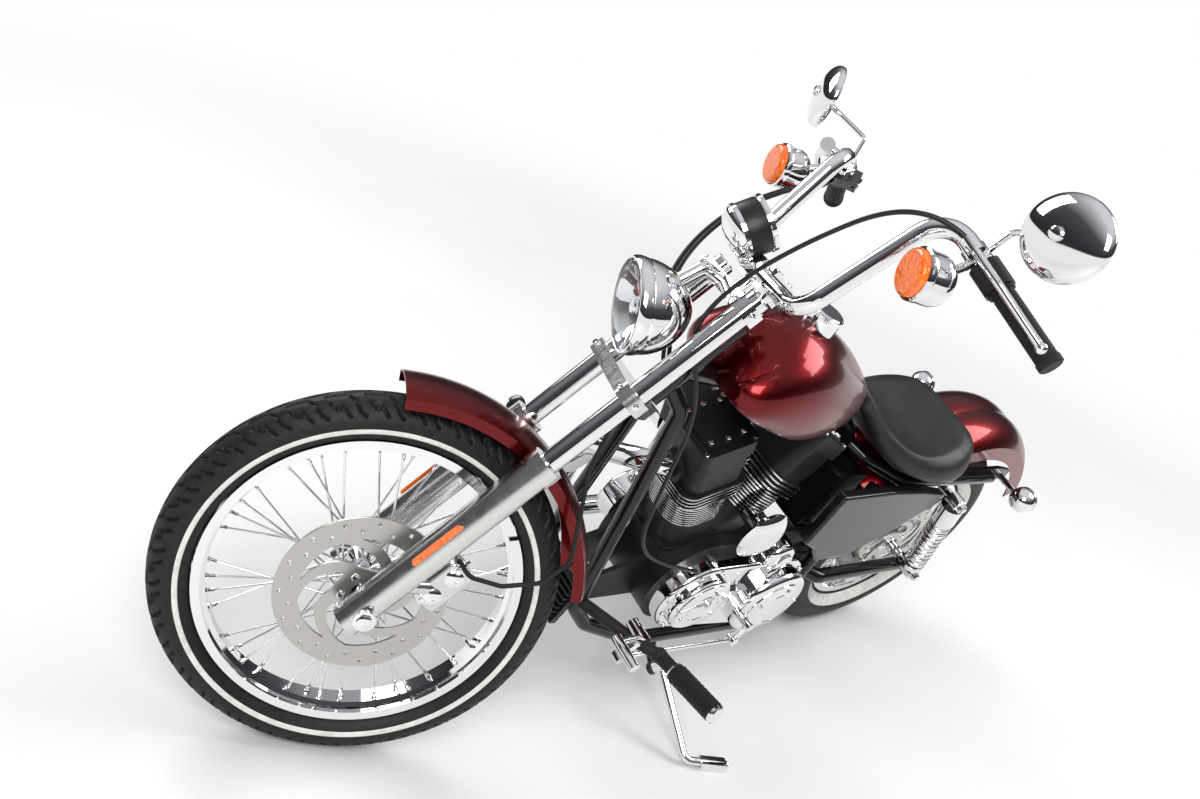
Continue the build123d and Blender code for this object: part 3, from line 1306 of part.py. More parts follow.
hose_route = [
    CALIPER_AT + Vector(-10, 10, 52), Vector(1376, 92, 448), Vector(1322, 104, 452), Vector(1262, 106, 476),
    Vector(1226, 102, 526), Vector(1244, 100, 610), Vector(1260, 92, 690), Vector(1250, 74, 770),
    fork_point(58, LOWER_CLAMP - CLAMP_T / 2 - SEAT_GAP, -2),
]
with BuildPart() as brake_hose:
    tube(hose_route, CABLE_R, 24)
    add(lower_clamp.part, mode=Mode.SUBTRACT)
    add(caliper_body.part.moved(Plane(origin=CALIPER_AT, x_dir=UP, z_dir=LEFT).location), mode=Mode.SUBTRACT)
keep("brake_hose", brake_hose, steered=True)

# Side stand, drawn where it rests: its eye hangs from the left loop's lug
with BuildPart() as side_stand:
    tube([STAND_EYE_AT_REST, STAND_BEND, STAND_TOE], 9, 20)
    with Locations(Plane(origin=(STAND_TOE + Vector(30, -13, 0)), x_dir=(STAND_BEND - STAND_TOE), z_dir=(0, 0, 1))):
        Box(60, 26, 18)
    rod(
        STAND_EYE_AT_REST - STAND_PIN_WAY * STAND_EYE_HALF,
        STAND_EYE_AT_REST + STAND_PIN_WAY * STAND_EYE_HALF,
        STAND_EYE_R,
    )
    rod(
        STAND_EYE_AT_REST - STAND_PIN_WAY * 20,
        STAND_EYE_AT_REST + STAND_PIN_WAY * 20,
        STAND_PIN_R + 0.06,
        mode=Mode.SUBTRACT,
    )
keep("side_stand", side_stand, placed=False)

boxes = [solid.bounding_box() for solid in pieces.values()]
LOW = Vector(min(box.min.X for box in boxes), min(box.min.Y for box in boxes), min(box.min.Z for box in boxes))
HIGH = Vector(max(box.max.X for box in boxes), max(box.max.Y for box in boxes), max(box.max.Z for box in boxes))
ORIGIN = Vector((LOW.X + HIGH.X) / 2, (LOW.Y + HIGH.Y) / 2, 0)
print("origin", ORIGIN, "low", round(LOW.Z, 3), "size", HIGH - LOW)


def fact(name, point, way):
    """Prints a place and a direction of the finished part, in metres."""
    spot = point - ORIGIN
    print("FACT", name, *[round(v / 1000, 6) for v in spot], *[round(v, 7) for v in way.normalized()])


fact("steering", rest_point(STEER_FOOT), rest_vector(UP, PITCH))
fact("front_wheel_spin", rest_point(steered_point(FRONT_AXLE)), rest_vector(steered_vector(LEFT), PITCH))
fact("rear_wheel_spin", rest_point(REAR_AXLE), rest_vector(LEFT, PITCH))
fact("side_stand_swing", STAND_EYE_AT_REST, STAND_PIN_WAY)
print("SWING", round(STAND_SWING, 2))
for name, solid in pieces.items():
    placed = solid.translate(-ORIGIN)
    placed.label = name
    export_step(placed, f"parts/{name}.step")
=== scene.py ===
from math import cos, pi, radians, sin

import bmesh
import bpy
import numpy as np
from mathutils import Matrix, Vector


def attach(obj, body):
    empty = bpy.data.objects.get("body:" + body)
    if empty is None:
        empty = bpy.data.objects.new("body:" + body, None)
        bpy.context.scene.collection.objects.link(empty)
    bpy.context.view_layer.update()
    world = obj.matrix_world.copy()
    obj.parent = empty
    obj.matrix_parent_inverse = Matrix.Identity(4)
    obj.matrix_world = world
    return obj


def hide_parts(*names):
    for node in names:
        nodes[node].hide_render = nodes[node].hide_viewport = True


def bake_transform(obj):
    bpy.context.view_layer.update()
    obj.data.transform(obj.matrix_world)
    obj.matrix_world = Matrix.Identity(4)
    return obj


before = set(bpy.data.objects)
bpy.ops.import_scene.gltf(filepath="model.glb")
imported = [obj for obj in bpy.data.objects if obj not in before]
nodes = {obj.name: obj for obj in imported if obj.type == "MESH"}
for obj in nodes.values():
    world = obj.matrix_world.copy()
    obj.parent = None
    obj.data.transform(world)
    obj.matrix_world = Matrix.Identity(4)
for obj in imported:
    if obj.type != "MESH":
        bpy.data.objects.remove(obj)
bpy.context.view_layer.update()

# Camera and light
# The photograph's view: from ahead of the left handlebar, above it and a little
# tilted. A pale floor, soft lamps and a room that is dark low down light the bike.
scene = bpy.context.scene
scene.view_settings.view_transform = "Standard"
lens = bpy.data.cameras.new("camera")
lens.lens = 38.921
lens.sensor_width = 36.0
camera = bpy.data.objects.new("camera", lens)
camera.location = (2.0148, 1.2479, 1.5838)
camera.rotation_euler = [radians(turn) for turn in (66.104, -20.239, 139.96)]
scene.collection.objects.link(camera)
scene.camera = camera


def surface(name, color, metallic=0.0, rough=0.5, coat=0.0):
    """A material, its node tree and its shader, with the plain values set."""
    made = bpy.data.materials.new(name)
    made.use_nodes = True
    tree = made.node_tree
    shader = tree.nodes["Principled BSDF"]
    shader.inputs["Base Color"].default_value = (*color, 1.0)
    shader.inputs["Metallic"].default_value = metallic
    shader.inputs["Roughness"].default_value = rough
    shader.inputs["Coat Weight"].default_value = coat
    shader.inputs["Coat Roughness"].default_value = 0.03
    return made, tree, shader


def add_node(tree, kind, **values):
    """A node with these socket values, its name as Blender types it."""
    made = tree.nodes.new("ShaderNode" + kind)
    for socket, value in values.items():
        made.inputs[socket.replace("_", " ")].default_value = value
    return made


def spotted(tree, scale, detail=3.0):
    """A noise that sits on the piece itself."""
    place = tree.nodes.new("ShaderNodeTexCoord")
    noise = add_node(tree, "TexNoise", Scale=scale, Detail=detail)
    tree.links.new(place.outputs["Object"], noise.inputs["Vector"])
    return noise


def mix_colors(tree, shader, noise, dark, light, low=0.35, high=0.65):
    """The base colour drifts between two near colours."""
    ramp = tree.nodes.new("ShaderNodeValToRGB")
    ramp.color_ramp.elements[0].position = low
    ramp.color_ramp.elements[1].position = high
    ramp.color_ramp.elements[0].color = (*dark, 1.0)
    ramp.color_ramp.elements[1].color = (*light, 1.0)
    tree.links.new(noise.outputs["Fac"], ramp.inputs["Fac"])
    tree.links.new(ramp.outputs["Color"], shader.inputs["Base Color"])


def mix_rough(tree, shader, noise, low, high):
    """The gloss drifts between two values."""
    span = tree.nodes.new("ShaderNodeMapRange")
    span.inputs["To Min"].default_value = low
    span.inputs["To Max"].default_value = high
    tree.links.new(noise.outputs["Fac"], span.inputs["Value"])
    tree.links.new(span.outputs["Result"], shader.inputs["Roughness"])


def bumped(tree, shader, noise, depth, strength=1.0):
    """A relief of that depth in metres."""
    bump = add_node(tree, "Bump", Strength=strength, Distance=depth)
    tree.links.new(noise.outputs["Fac"], bump.inputs["Height"])
    tree.links.new(bump.outputs["Normal"], shader.inputs["Normal"])


floor_mesh = bpy.data.meshes.new("floor")
shape = bmesh.new()
bmesh.ops.create_circle(shape, cap_ends=True, segments=96, radius=60)
shape.to_mesh(floor_mesh)
shape.free()
floor = bpy.data.objects.new("floor", floor_mesh)
scene.collection.objects.link(floor)
floor.location.z = -0.0005
paint, tree, shader = surface("floor_paint", (0.82, 0.81, 0.79), rough=0.6)
mix_colors(tree, shader, spotted(tree, 1.5), (0.80, 0.79, 0.77), (0.84, 0.83, 0.81))
place = tree.nodes.new("ShaderNodeTexCoord")
far = tree.nodes.new("ShaderNodeVectorMath")
far.operation = "LENGTH"
fade = tree.nodes.new("ShaderNodeMapRange")
fade.interpolation_type = "SMOOTHSTEP"
fade.inputs["From Min"].default_value = 1.6
fade.inputs["From Max"].default_value = 5.0
glow = add_node(tree, "Emission", Color=(1.0, 1.0, 1.0, 1.0), Strength=1.0)
both = tree.nodes.new("ShaderNodeMixShader")
tree.links.new(place.outputs["Object"], far.inputs[0])
tree.links.new(far.outputs["Value"], fade.inputs["Value"])
tree.links.new(fade.outputs["Result"], both.inputs["Fac"])
tree.links.new(shader.outputs["BSDF"], both.inputs[1])
tree.links.new(glow.outputs["Emission"], both.inputs[2])
tree.links.new(both.outputs["Shader"], tree.nodes["Material Output"].inputs["Surface"])
floor_mesh.materials.append(paint)

world = bpy.data.worlds.new("room")
scene.world = world
world.use_nodes = True
sky = world.node_tree
back = sky.nodes["Background"]
way = sky.nodes.new("ShaderNodeTexCoord")
split = sky.nodes.new("ShaderNodeSeparateXYZ")
room = sky.nodes.new("ShaderNodeValToRGB")
room.color_ramp.elements[0].position = 0.0
room.color_ramp.elements[0].color = (0.03, 0.03, 0.035, 1)
room.color_ramp.elements[1].position = 0.9
room.color_ramp.elements[1].color = (0.95, 0.96, 1.0, 1)
middle = room.color_ramp.elements.new(0.35)
middle.color = (0.10, 0.10, 0.11, 1)
sky.links.new(way.outputs["Generated"], split.inputs["Vector"])
sky.links.new(split.outputs["Z"], room.inputs["Fac"])
sky.links.new(room.outputs["Color"], back.inputs["Color"])
back.inputs["Strength"].default_value = 0.8
plain = add_node(sky, "Background", Color=(1.0, 1.0, 1.0, 1.0), Strength=1.0)
seen = sky.nodes.new("ShaderNodeLightPath")
either = sky.nodes.new("ShaderNodeMixShader")
sky.links.new(seen.outputs["Is Camera Ray"], either.inputs["Fac"])
sky.links.new(back.outputs["Background"], either.inputs[1])
sky.links.new(plain.outputs["Background"], either.inputs[2])
sky.links.new(either.outputs["Shader"], sky.nodes["World Output"].inputs["Surface"])

for name, place, aim, size, power in (
    ("lamp_front", (3.2, 2.6, 3.6), (0.3, 0, 0.5), 2.4, 170),
    ("lamp_rear", (-3.0, 1.6, 3.4), (0, 0, 0.5), 2.0, 110),
    ("lamp_right", (0.6, -3.6, 2.8), (0, 0, 0.6), 2.2, 80),
):
    made = bpy.data.lights.new(name, "AREA")
    made.size = size
    made.energy = power
    lamp = bpy.data.objects.new(name, made)
    lamp.location = place
    lamp.rotation_euler = (Vector(aim) - Vector(place)).to_track_quat("-Z", "Y").to_euler()
    scene.collection.objects.link(lamp)

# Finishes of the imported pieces
# Candy red over metal flake, black enamel, cast and plated metal, rubber and
# plastic: one material for each finish, with its own grain and gloss.
finish = {}
finish["red_paint"], tree, shader = surface("red_paint", (0.10, 0.003, 0.004), 1.0, 0.3, 0.4)
flake = add_node(tree, "TexVoronoi", Scale=1500.0)
place = tree.nodes.new("ShaderNodeTexCoord")
tree.links.new(place.outputs["Object"], flake.inputs["Vector"])
ramp = tree.nodes.new("ShaderNodeValToRGB")
ramp.color_ramp.elements[0].color = (0.03, 0.001, 0.0015, 1)
ramp.color_ramp.elements[1].color = (0.26, 0.008, 0.010, 1)
tree.links.new(flake.outputs["Color"], ramp.inputs["Fac"])
tree.links.new(ramp.outputs["Color"], shader.inputs["Base Color"])

finish["black_paint"], tree, shader = surface("black_paint", (0.005, 0.005, 0.006), 0.0, 0.16, 0.25)
shader.inputs["Specular IOR Level"].default_value = 0.3
mix_rough(tree, shader, spotted(tree, 30), 0.12, 0.22)
finish["black_casting"], tree, shader = surface("black_casting", (0.01, 0.01, 0.011), 0.0, 0.42)
shader.inputs["Specular IOR Level"].default_value = 0.28
noise = spotted(tree, 900)
mix_colors(tree, shader, noise, (0.005, 0.005, 0.006), (0.014, 0.014, 0.015))
bumped(tree, shader, noise, 0.0002, 0.6)
finish["chrome"], tree, shader = surface("chrome", (0.80, 0.80, 0.81), 1.0, 0.05)
mix_rough(tree, shader, spotted(tree, 14), 0.025, 0.08)
finish["polished_alloy"], tree, shader = surface("polished_alloy", (0.66, 0.66, 0.65), 1.0, 0.2)
mix_rough(tree, shader, spotted(tree, 60), 0.14, 0.28)
finish["brushed_steel"], tree, shader = surface("brushed_steel", (0.50, 0.49, 0.47), 1.0, 0.36)
mix_rough(tree, shader, spotted(tree, 160), 0.26, 0.44)
finish["tyre"], tree, shader = surface("tyre", (0.010, 0.010, 0.010), 0.0, 0.55)
shader.inputs["Specular IOR Level"].default_value = 0.3
noise = spotted(tree, 90)
mix_colors(tree, shader, noise, (0.007, 0.007, 0.007), (0.014, 0.014, 0.013))
bumped(tree, shader, spotted(tree, 1600), 0.0002, 0.5)
finish["white_rubber"], tree, shader = surface("white_rubber", (0.74, 0.73, 0.69), 0.0, 0.5)
mix_colors(tree, shader, spotted(tree, 60), (0.66, 0.65, 0.60), (0.80, 0.79, 0.76))
finish["rubber"], tree, shader = surface("rubber", (0.009, 0.009, 0.009), 0.0, 0.55)
shader.inputs["Specular IOR Level"].default_value = 0.3
mix_rough(tree, shader, spotted(tree, 200), 0.5, 0.7)
finish["black_plastic"], tree, shader = surface("black_plastic", (0.009, 0.009, 0.010), 0.0, 0.34)
shader.inputs["Specular IOR Level"].default_value = 0.35
mix_rough(tree, shader, spotted(tree, 300), 0.3, 0.46)
finish["amber_lens"], tree, shader = surface("amber_lens", (0.95, 0.16, 0.01), 0.0, 0.08, 0.6)
cells = add_node(tree, "TexVoronoi", Scale=170.0)
place = tree.nodes.new("ShaderNodeTexCoord")
tree.links.new(place.outputs["Object"], cells.inputs["Vector"])
ramp = tree.nodes.new("ShaderNodeValToRGB")
ramp.color_ramp.elements[0].color = (1.0, 0.26, 0.02, 1)
ramp.color_ramp.elements[1].color = (0.75, 0.07, 0.004, 1)
tree.links.new(cells.outputs["Distance"], ramp.inputs["Fac"])
tree.links.new(ramp.outputs["Color"], shader.inputs["Base Color"])
bump = add_node(tree, "Bump", Strength=0.5, Distance=0.001)
tree.links.new(cells.outputs["Distance"], bump.inputs["Height"])
tree.links.new(bump.outputs["Normal"], shader.inputs["Normal"])
finish["red_lens"], tree, shader = surface("red_lens", (0.45, 0.008, 0.006), 0.0, 0.1, 0.6)
mix_colors(tree, shader, spotted(tree, 120), (0.32, 0.004, 0.004), (0.55, 0.012, 0.008))
finish["clear_lens"], tree, shader = surface("clear_lens", (0.95, 0.96, 0.97), 0.0, 0.03)
shader.inputs["Transmission Weight"].default_value = 1.0
shader.inputs["IOR"].default_value = 1.12
mix_rough(tree, shader, spotted(tree, 30), 0.01, 0.04)
finish["seat_cover"], tree, shader = surface("seat_cover", (0.012, 0.012, 0.013), 0.0, 0.42)
shader.inputs["Specular IOR Level"].default_value = 0.35
noise = add_node(tree, "TexVoronoi", Scale=900.0)
place = tree.nodes.new("ShaderNodeTexCoord")
tree.links.new(place.outputs["Object"], noise.inputs["Vector"])
bump = add_node(tree, "Bump", Strength=0.5, Distance=0.0003)
tree.links.new(noise.outputs["Distance"], bump.inputs["Height"])
tree.links.new(bump.outputs["Normal"], shader.inputs["Normal"])
mix_colors(tree, shader, spotted(tree, 22), (0.008, 0.008, 0.009), (0.015, 0.015, 0.016))
finish["belt_rubber"], tree, shader = surface("belt_rubber", (0.02, 0.02, 0.02), 0.0, 0.7)
mix_rough(tree, shader, spotted(tree, 400), 0.6, 0.8)
finish["dial_black"], tree, shader = surface("dial_black", (0.012, 0.012, 0.013), 0.0, 0.45)
mix_rough(tree, shader, spotted(tree, 300), 0.4, 0.5)
finish["dial_white"], tree, shader = surface("dial_white", (0.82, 0.82, 0.80), 0.0, 0.5)
mix_rough(tree, shader, spotted(tree, 300), 0.45, 0.55)

for node in nodes.values():
    for holder in node.material_slots:
        holder.material = finish[holder.material.name.split(".")[0]]
    node.data.update()

# Tyres
# Moulded black rubber with a stepped block tread and a white ring let into each
# sidewall, stretched over the rims. Drawn upright, then leaned and steered.
chassis = (
    Matrix.Translation((-0.735057, -0.246197, 0.00239))
    @ Matrix.Rotation(radians(-0.207), 4, "Y")
    @ Matrix.Rotation(radians(-15), 4, "X")
    @ Matrix.Scale(0.001, 4)
)
rake = radians(30.1)
up = Vector((-sin(rake), 0, cos(rake)))
ahead = Vector((cos(rake), 0, sin(rake)))
left = Vector((0, 1, 0))
front_axle = Vector((1524, 0, 346))
rear_axle = Vector((0, 0, 326))
steer_foot = front_axle - ahead * 57.593
fork = (
    chassis
    @ Matrix.Translation(steer_foot)
    @ Matrix.Rotation(radians(-32.6), 4, up)
    @ Matrix.Translation(-steer_foot)
)


def piece(name, shape, place, body, paint, sharp=35):
    """Turns a drawn shape into a piece that rides on a body."""
    bmesh.ops.transform(shape, matrix=place, verts=shape.verts)
    bmesh.ops.recalc_face_normals(shape, faces=shape.faces)
    mesh = bpy.data.meshes.new(name)
    shape.to_mesh(mesh)
    shape.free()
    mesh.materials.append(finish[paint])
    mesh.polygons.foreach_set("use_smooth", [True] * len(mesh.polygons))
    mesh.set_sharp_from_angle(angle=radians(sharp))
    made = bpy.data.objects.new(name, mesh)
    scene.collection.objects.link(made)
    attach(made, body)
    return made


def joined(shape, rows, close_rows=False):
    """Skins rings of points; each ring is closed on itself."""
    rings = [[shape.verts.new(point) for point in row] for row in rows]
    pairs = list(zip(rings, rings[1:]))
    if close_rows:
        pairs.append((rings[-1], rings[0]))
    for low, high in pairs:
        for k in range(len(low)):
            n = (k + 1) % len(low)
            shape.faces.new((low[k], low[n], high[n], high[k]))
    return rings


def groove_depth(round_mm, across_mm, pitch, routes, width, depth):
    """How far the tread is cut at each point by stepped grooves that repeat."""
    nearest = np.full(round_mm.shape, 1e9)
    for side, shift in ((1, 0.0), (-1, 0.5)):
        u = np.mod(round_mm + shift * pitch, pitch)
        v = across_mm * side
        for route in routes:
            for (u0, v0), (u1, v1) in zip(route, route[1:]):
                run = (u1 - u0) ** 2 + (v1 - v0) ** 2
                for turn in (-2, -1, 0, 1):
                    du = u - u0 - turn * pitch
                    dv = v - v0
                    t = np.clip((du * (u1 - u0) + dv * (v1 - v0)) / run, 0, 1)
                    gap = np.hypot(du - t * (u1 - u0), dv - t * (v1 - v0))
                    nearest = np.minimum(nearest, gap)
    return depth * np.clip((width - nearest) / 1.1 + 0.5, 0, 1)


def tyre(name, node, body, place, centre, outer_r, half, flange_r, bead, count, columns):
    """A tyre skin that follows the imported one, with its tread cut in."""
    crown_steps, groove_half, groove_deep = 23, 2.3, 4.6
    ring_r = outer_r - half
    start = flange_r + 5
    side_rows = [(flange_r + 1, bead), (start, bead + 6)]
    for t in (0.25, 0.5, 0.75, 1.0):
        bulge = (half - bead - 6) * sin(t * pi / 2)
        side_rows.append((start + (ring_r - start) * t, bead + 6 + bulge))
    turns = np.linspace(pi / 2, 0, crown_steps)[1:]
    crown = [(ring_r + half * cos(turn), half * sin(turn)) for turn in turns]
    half_rows = side_rows + crown
    rows = half_rows + [(r, -y) for r, y in reversed(half_rows[:-1])]
    radius = np.array([r for r, _ in rows])[:, None]
    aside = np.array([y for _, y in rows])[:, None]
    angle = np.linspace(0, 2 * pi, columns, endpoint=False)[None, :]
    slope = np.arctan2(aside, radius - ring_r)
    across_mm = np.broadcast_to(slope * half, (len(rows), columns))
    round_mm = np.broadcast_to(angle * outer_r, (len(rows), columns))
    pitch = 2 * pi * outer_r / count
    k = pitch / 64
    routes = (
        ((-8 * k, 5), (26 * k, 6), (37 * k, 17), (58 * k, 19), (70 * k, 33), (84 * k, 36)),
        ((2 * k, 24), (14 * k, 25), (22 * k, 38), (30 * k, 50)),
        ((40 * k, 28), (46 * k, 40), (58 * k, 52)),
    )
    cut = groove_depth(round_mm, across_mm, pitch, routes, groove_half, groove_deep)
    cut = np.where(np.abs(across_mm) > half * 1.12, 0, cut)
    reach_r = radius - cut * np.cos(slope)
    reach_y = aside - cut * np.sin(slope)
    shape = bmesh.new()
    grid = []
    for j in range(len(rows)):
        x = reach_r[j] * np.cos(angle[0]) + centre.x
        z = reach_r[j] * np.sin(angle[0]) + centre.z
        y = np.broadcast_to(reach_y[j], x.shape) + centre.y
        grid.append(list(zip(x, y, z)))
    joined(shape, grid, close_rows=True)
    made = piece(name, shape, place, body, "tyre", 50)
    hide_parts(node)
    return half_rows


def white_ring(name, body, place, centre, profile, inner_r, outer_r):
    """A flat white ring that stands half a millimetre proud of the sidewall."""
    r_known = [r for r, _ in profile]
    y_known = [y for _, y in profile]
    shape = bmesh.new()
    for side in (1, -1):
        rows = []
        for share, lift in ((0, -1.0), (0, 0.5), (0.25, 0.8), (0.75, 0.8), (1, 0.5), (1, -1.0)):
            r = inner_r + (outer_r - inner_r) * share
            y = float(np.interp(r, r_known, y_known)) + lift
            turns = np.linspace(0, 2 * pi, 180, endpoint=False)
            rows.append([(centre.x + r * cos(t), side * y, centre.z + r * sin(t)) for t in turns])
        joined(shape, rows, close_rows=True)
    piece(name, shape, place, body, "white_rubber", 60)


front = ("front_wheel", fork, front_axle)
rear = ("rear_wheel", chassis, rear_axle)
front_size = dict(outer_r=346, half=45, flange_r=275, bead=27)
rear_size = dict(outer_r=326, half=70, flange_r=212, bead=40)
front_profile = tyre("tyre_front_tread", "tyre_front", *front, **front_size, count=34, columns=1360)
white_ring("white_ring_front", *front, front_profile, inner_r=293.5, outer_r=302.5)
rear_profile = tyre("tyre_rear_tread", "tyre_rear", *rear, **rear_size, count=30, columns=1080)
white_ring("white_ring_rear", *rear, rear_profile, inner_r=219, outer_r=243)

# Wheel fastenings
# Chromed nipples that pull each crossed spoke through the rim, and the hexagon bolts
# that hold the discs and the pulley to their hubs.


def toward(point, way):
    """A place at a point whose own Z runs along a way."""
    return Matrix.Translation(point) @ Vector(way).to_track_quat("Z", "Y").to_matrix().to_4x4()


def turned(shape, place, profile, count=24):
    """Spins a profile of (radius, height) points about the place's own Z."""
    rings = []
    for r, h in profile:
        if r == 0:
            rings.append([shape.verts.new(place @ Vector((0, 0, h)))])
            continue
        turns = [2 * pi * k / count for k in range(count)]
        spots = [place @ Vector((r * cos(turn), r * sin(turn), h)) for turn in turns]
        rings.append([shape.verts.new(spot) for spot in spots])
    for low, high in zip(rings, rings[1:]):
        for k in range(count):
            n = (k + 1) % count
            corners = [low[k % len(low)], low[n % len(low)]]
            corners += [high[n % len(high)], high[k % len(high)]]
            unique = list(dict.fromkeys(corners))
            if len(unique) > 2:
                shape.faces.new(unique)


def hex_bolt(shape, point, way, r=7.0, h=6.0):
    """A chamfered hexagon head on a washer."""
    place = toward(point, way)
    washer = ((0, -1), (r * 1.35, -1), (r * 1.35, h * 0.22), (r * 1.2, h * 0.28), (0, h * 0.28))
    head = ((r, h * 0.2), (r, h * 0.85), (r * 0.84, h), (r * 0.4, h * 1.05), (0, h * 1.05))
    turned(shape, place, washer, 20)
    turned(shape, place, head, 6)


def cap_screw(shape, point, way, r=5.0, h=4.5):
    """A round screw head with a hexagon socket."""
    place = toward(point, way)
    turned(shape, place, ((r, -1), (r, h * 0.8), (r * 0.88, h), (r * 0.5, h)), 20)
    turned(shape, place, ((r * 0.5, h), (r * 0.5, h * 0.35), (0, h * 0.35)), 6)


def nipples(name, body, place, centre, head_r, foot_r, flange_half):
    """A stepped nipple at each of forty crossed spokes' rim end, in line with its spoke."""
    profile = ((0, -1), (4.6, -1), (4.6, 2), (3.2, 4), (3.2, 13), (2.4, 15), (0, 15))
    shape = bmesh.new()
    for k in range(10):
        for side in (-1, 1):
            for cross in (-1, 1):
                foot = radians(36 * (k + 0.25 * cross + 0.125 * side))
                head = foot + radians(cross * 52)
                foot_side = side * (flange_half - 2 * cross)
                start = Vector((foot_r * cos(foot), foot_side, foot_r * sin(foot)))
                end = Vector((head_r * cos(head), foot_side * 6 / flange_half, head_r * sin(head)))
                spot = toward(centre + end, start - end)
                turned(shape, spot, profile, 10)
    piece(name, shape, place, body, "chrome", 30)


def bolt_ring(shape, centre, ring_r, aside, r, h):
    """Five hexagon bolts round a wheel's axis, at that distance to its left."""
    for k in range(5):
        turn = radians(72 * k + 54)
        spot = centre + Vector((cos(turn), 0, sin(turn))) * ring_r + left * aside
        hex_bolt(shape, spot, left if aside > 0 else -left, r, h)


nipples("spoke_nipples_front", *front, head_r=251, foot_r=36, flange_half=32)
nipples("spoke_nipples_rear", *rear, head_r=186, foot_r=52, flange_half=42)
shape = bmesh.new()
bolt_ring(shape, front_axle, ring_r=34, aside=51.3, r=5.5, h=5)
piece("disc_bolts_front", shape, fork, "front_wheel", "chrome")
shape = bmesh.new()
bolt_ring(shape, rear_axle, ring_r=36, aside=67.3, r=5.5, h=5)
bolt_ring(shape, rear_axle, ring_r=28.8, aside=-93, r=5.0, h=5)
piece("disc_bolts_rear", shape, chassis, "rear_wheel", "chrome")

# Brake discs
# Ground steel rings, drilled in two rows and carried by five swept arms, bolted to the
# left face of each hub.


def outline(curve, spots):
    """Adds one closed outline to a flat filled curve."""
    spline = curve.splines.new("POLY")
    spline.points.add(len(spots) - 1)
    for point, (x, y) in zip(spline.points, spots):
        point.co = (x, y, 0, 1)
    spline.use_cyclic_u = True


def swept_disc(name, node, body, place, centre, outer, band, hub, side_y, thick):
    """A filled outline with drilled holes and swept windows, given its thickness."""
    edge, bore_r, hole_r, row_gap, holes, arms = 0.3, 20, 4, 7, 15, 5
    curve = bpy.data.curves.new(name, "CURVE")
    curve.dimensions = "2D"
    curve.fill_mode = "BOTH"
    curve.extrude = thick / 2 - edge
    curve.bevel_depth = edge
    curve.offset = -edge
    ring = np.linspace(0, 2 * pi, 144, endpoint=False)
    outline(curve, [(outer * cos(t), outer * sin(t)) for t in ring])
    outline(curve, [(bore_r * cos(t), bore_r * sin(t)) for t in ring[::4]])
    hole = np.linspace(0, 2 * pi, 14, endpoint=False)
    for r, start in (((outer + band) / 2 + row_gap, 0), ((outer + band) / 2 - row_gap, 12)):
        for k in range(holes):
            turn = 2 * pi * k / holes + radians(start)
            x, y = r * cos(turn), r * sin(turn)
            outline(curve, [(x + hole_r * cos(t), y + hole_r * sin(t)) for t in hole])
    inner_r, far_r, sweep = hub + 12, band - 3, radians(58)
    for k in range(arms):
        start = 2 * pi * k / arms
        spots = []
        for t in np.linspace(0, 1, 14):
            r, turn = inner_r + (far_r - inner_r) * t, start + sweep * t ** 1.3
            spots.append((r * cos(turn), r * sin(turn)))
        for t in np.linspace(0, 1, 14):
            turn = start + sweep + radians(50) * t
            spots.append((far_r * cos(turn), far_r * sin(turn)))
        for t in np.linspace(1, 0, 14):
            r, turn = inner_r + (far_r - inner_r) * t, start + radians(42) + radians(66) * t ** 1.3
            spots.append((r * cos(turn), r * sin(turn)))
        outline(curve, spots[:-1])
    holder = bpy.data.objects.new(name + "_curve", curve)
    scene.collection.objects.link(holder)
    graph = bpy.context.evaluated_depsgraph_get()
    mesh = bpy.data.meshes.new_from_object(holder.evaluated_get(graph))
    bpy.data.objects.remove(holder)
    shape = bmesh.new()
    shape.from_mesh(mesh)
    bmesh.ops.transform(shape, matrix=toward(centre + left * side_y, left), verts=shape.verts)
    made = piece(name, shape, place, body, "brushed_steel", 30)
    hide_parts(node)


disc_size = dict(hub=37, thick=5)
swept_disc("disc_front_plate", "disc_front", *front, outer=146, band=108, side_y=48.8, **disc_size)
swept_disc("disc_rear_plate", "disc_rear", *rear, outer=130, band=98, side_y=64.8, **disc_size)

# Fork fastenings
# Axle nut and pinch bolts at the slider feet, screws in the split clamps, fender and
# caliper bolts, and an amber reflector strip let into each slider.


def fork_point(aside, along, forward=0.0):
    """A point left of the front wheel's middle, up along the fork and ahead of it."""
    return front_axle + left * aside + up * along + ahead * forward


leg_y = 89
tube_cap = ((0, 0), (19.5, 0), (19.5, 3), (17, 6), (11, 7), (0, 7))
shape = bmesh.new()
hex_bolt(shape, fork_point(131, 0), left, 14, 8)
hex_bolt(shape, fork_point(-135, 0), -left, 13, 8)
for side in (-1, 1):
    for along in (-24, 20):
        cap_screw(shape, fork_point(side * leg_y, along, 28), ahead, 6, 5)
    for along in (558, 787):
        cap_screw(shape, fork_point(side * leg_y, along, 30), ahead, 5.5, 6)
        hex_bolt(shape, fork_point(side * (leg_y + 30), along, 0), left * side, 5, 4)
    turned(shape, toward(fork_point(side * leg_y, 811), up), tube_cap)
    for along in (340, 352):
        cap_screw(shape, fork_point(side * 60.5, along, 6), -left * side, 6, 5)
hex_bolt(shape, fork_point(0, 800, -57.6), up, 15, 9)
piece("fork_bolts", shape, fork, "fork", "chrome")

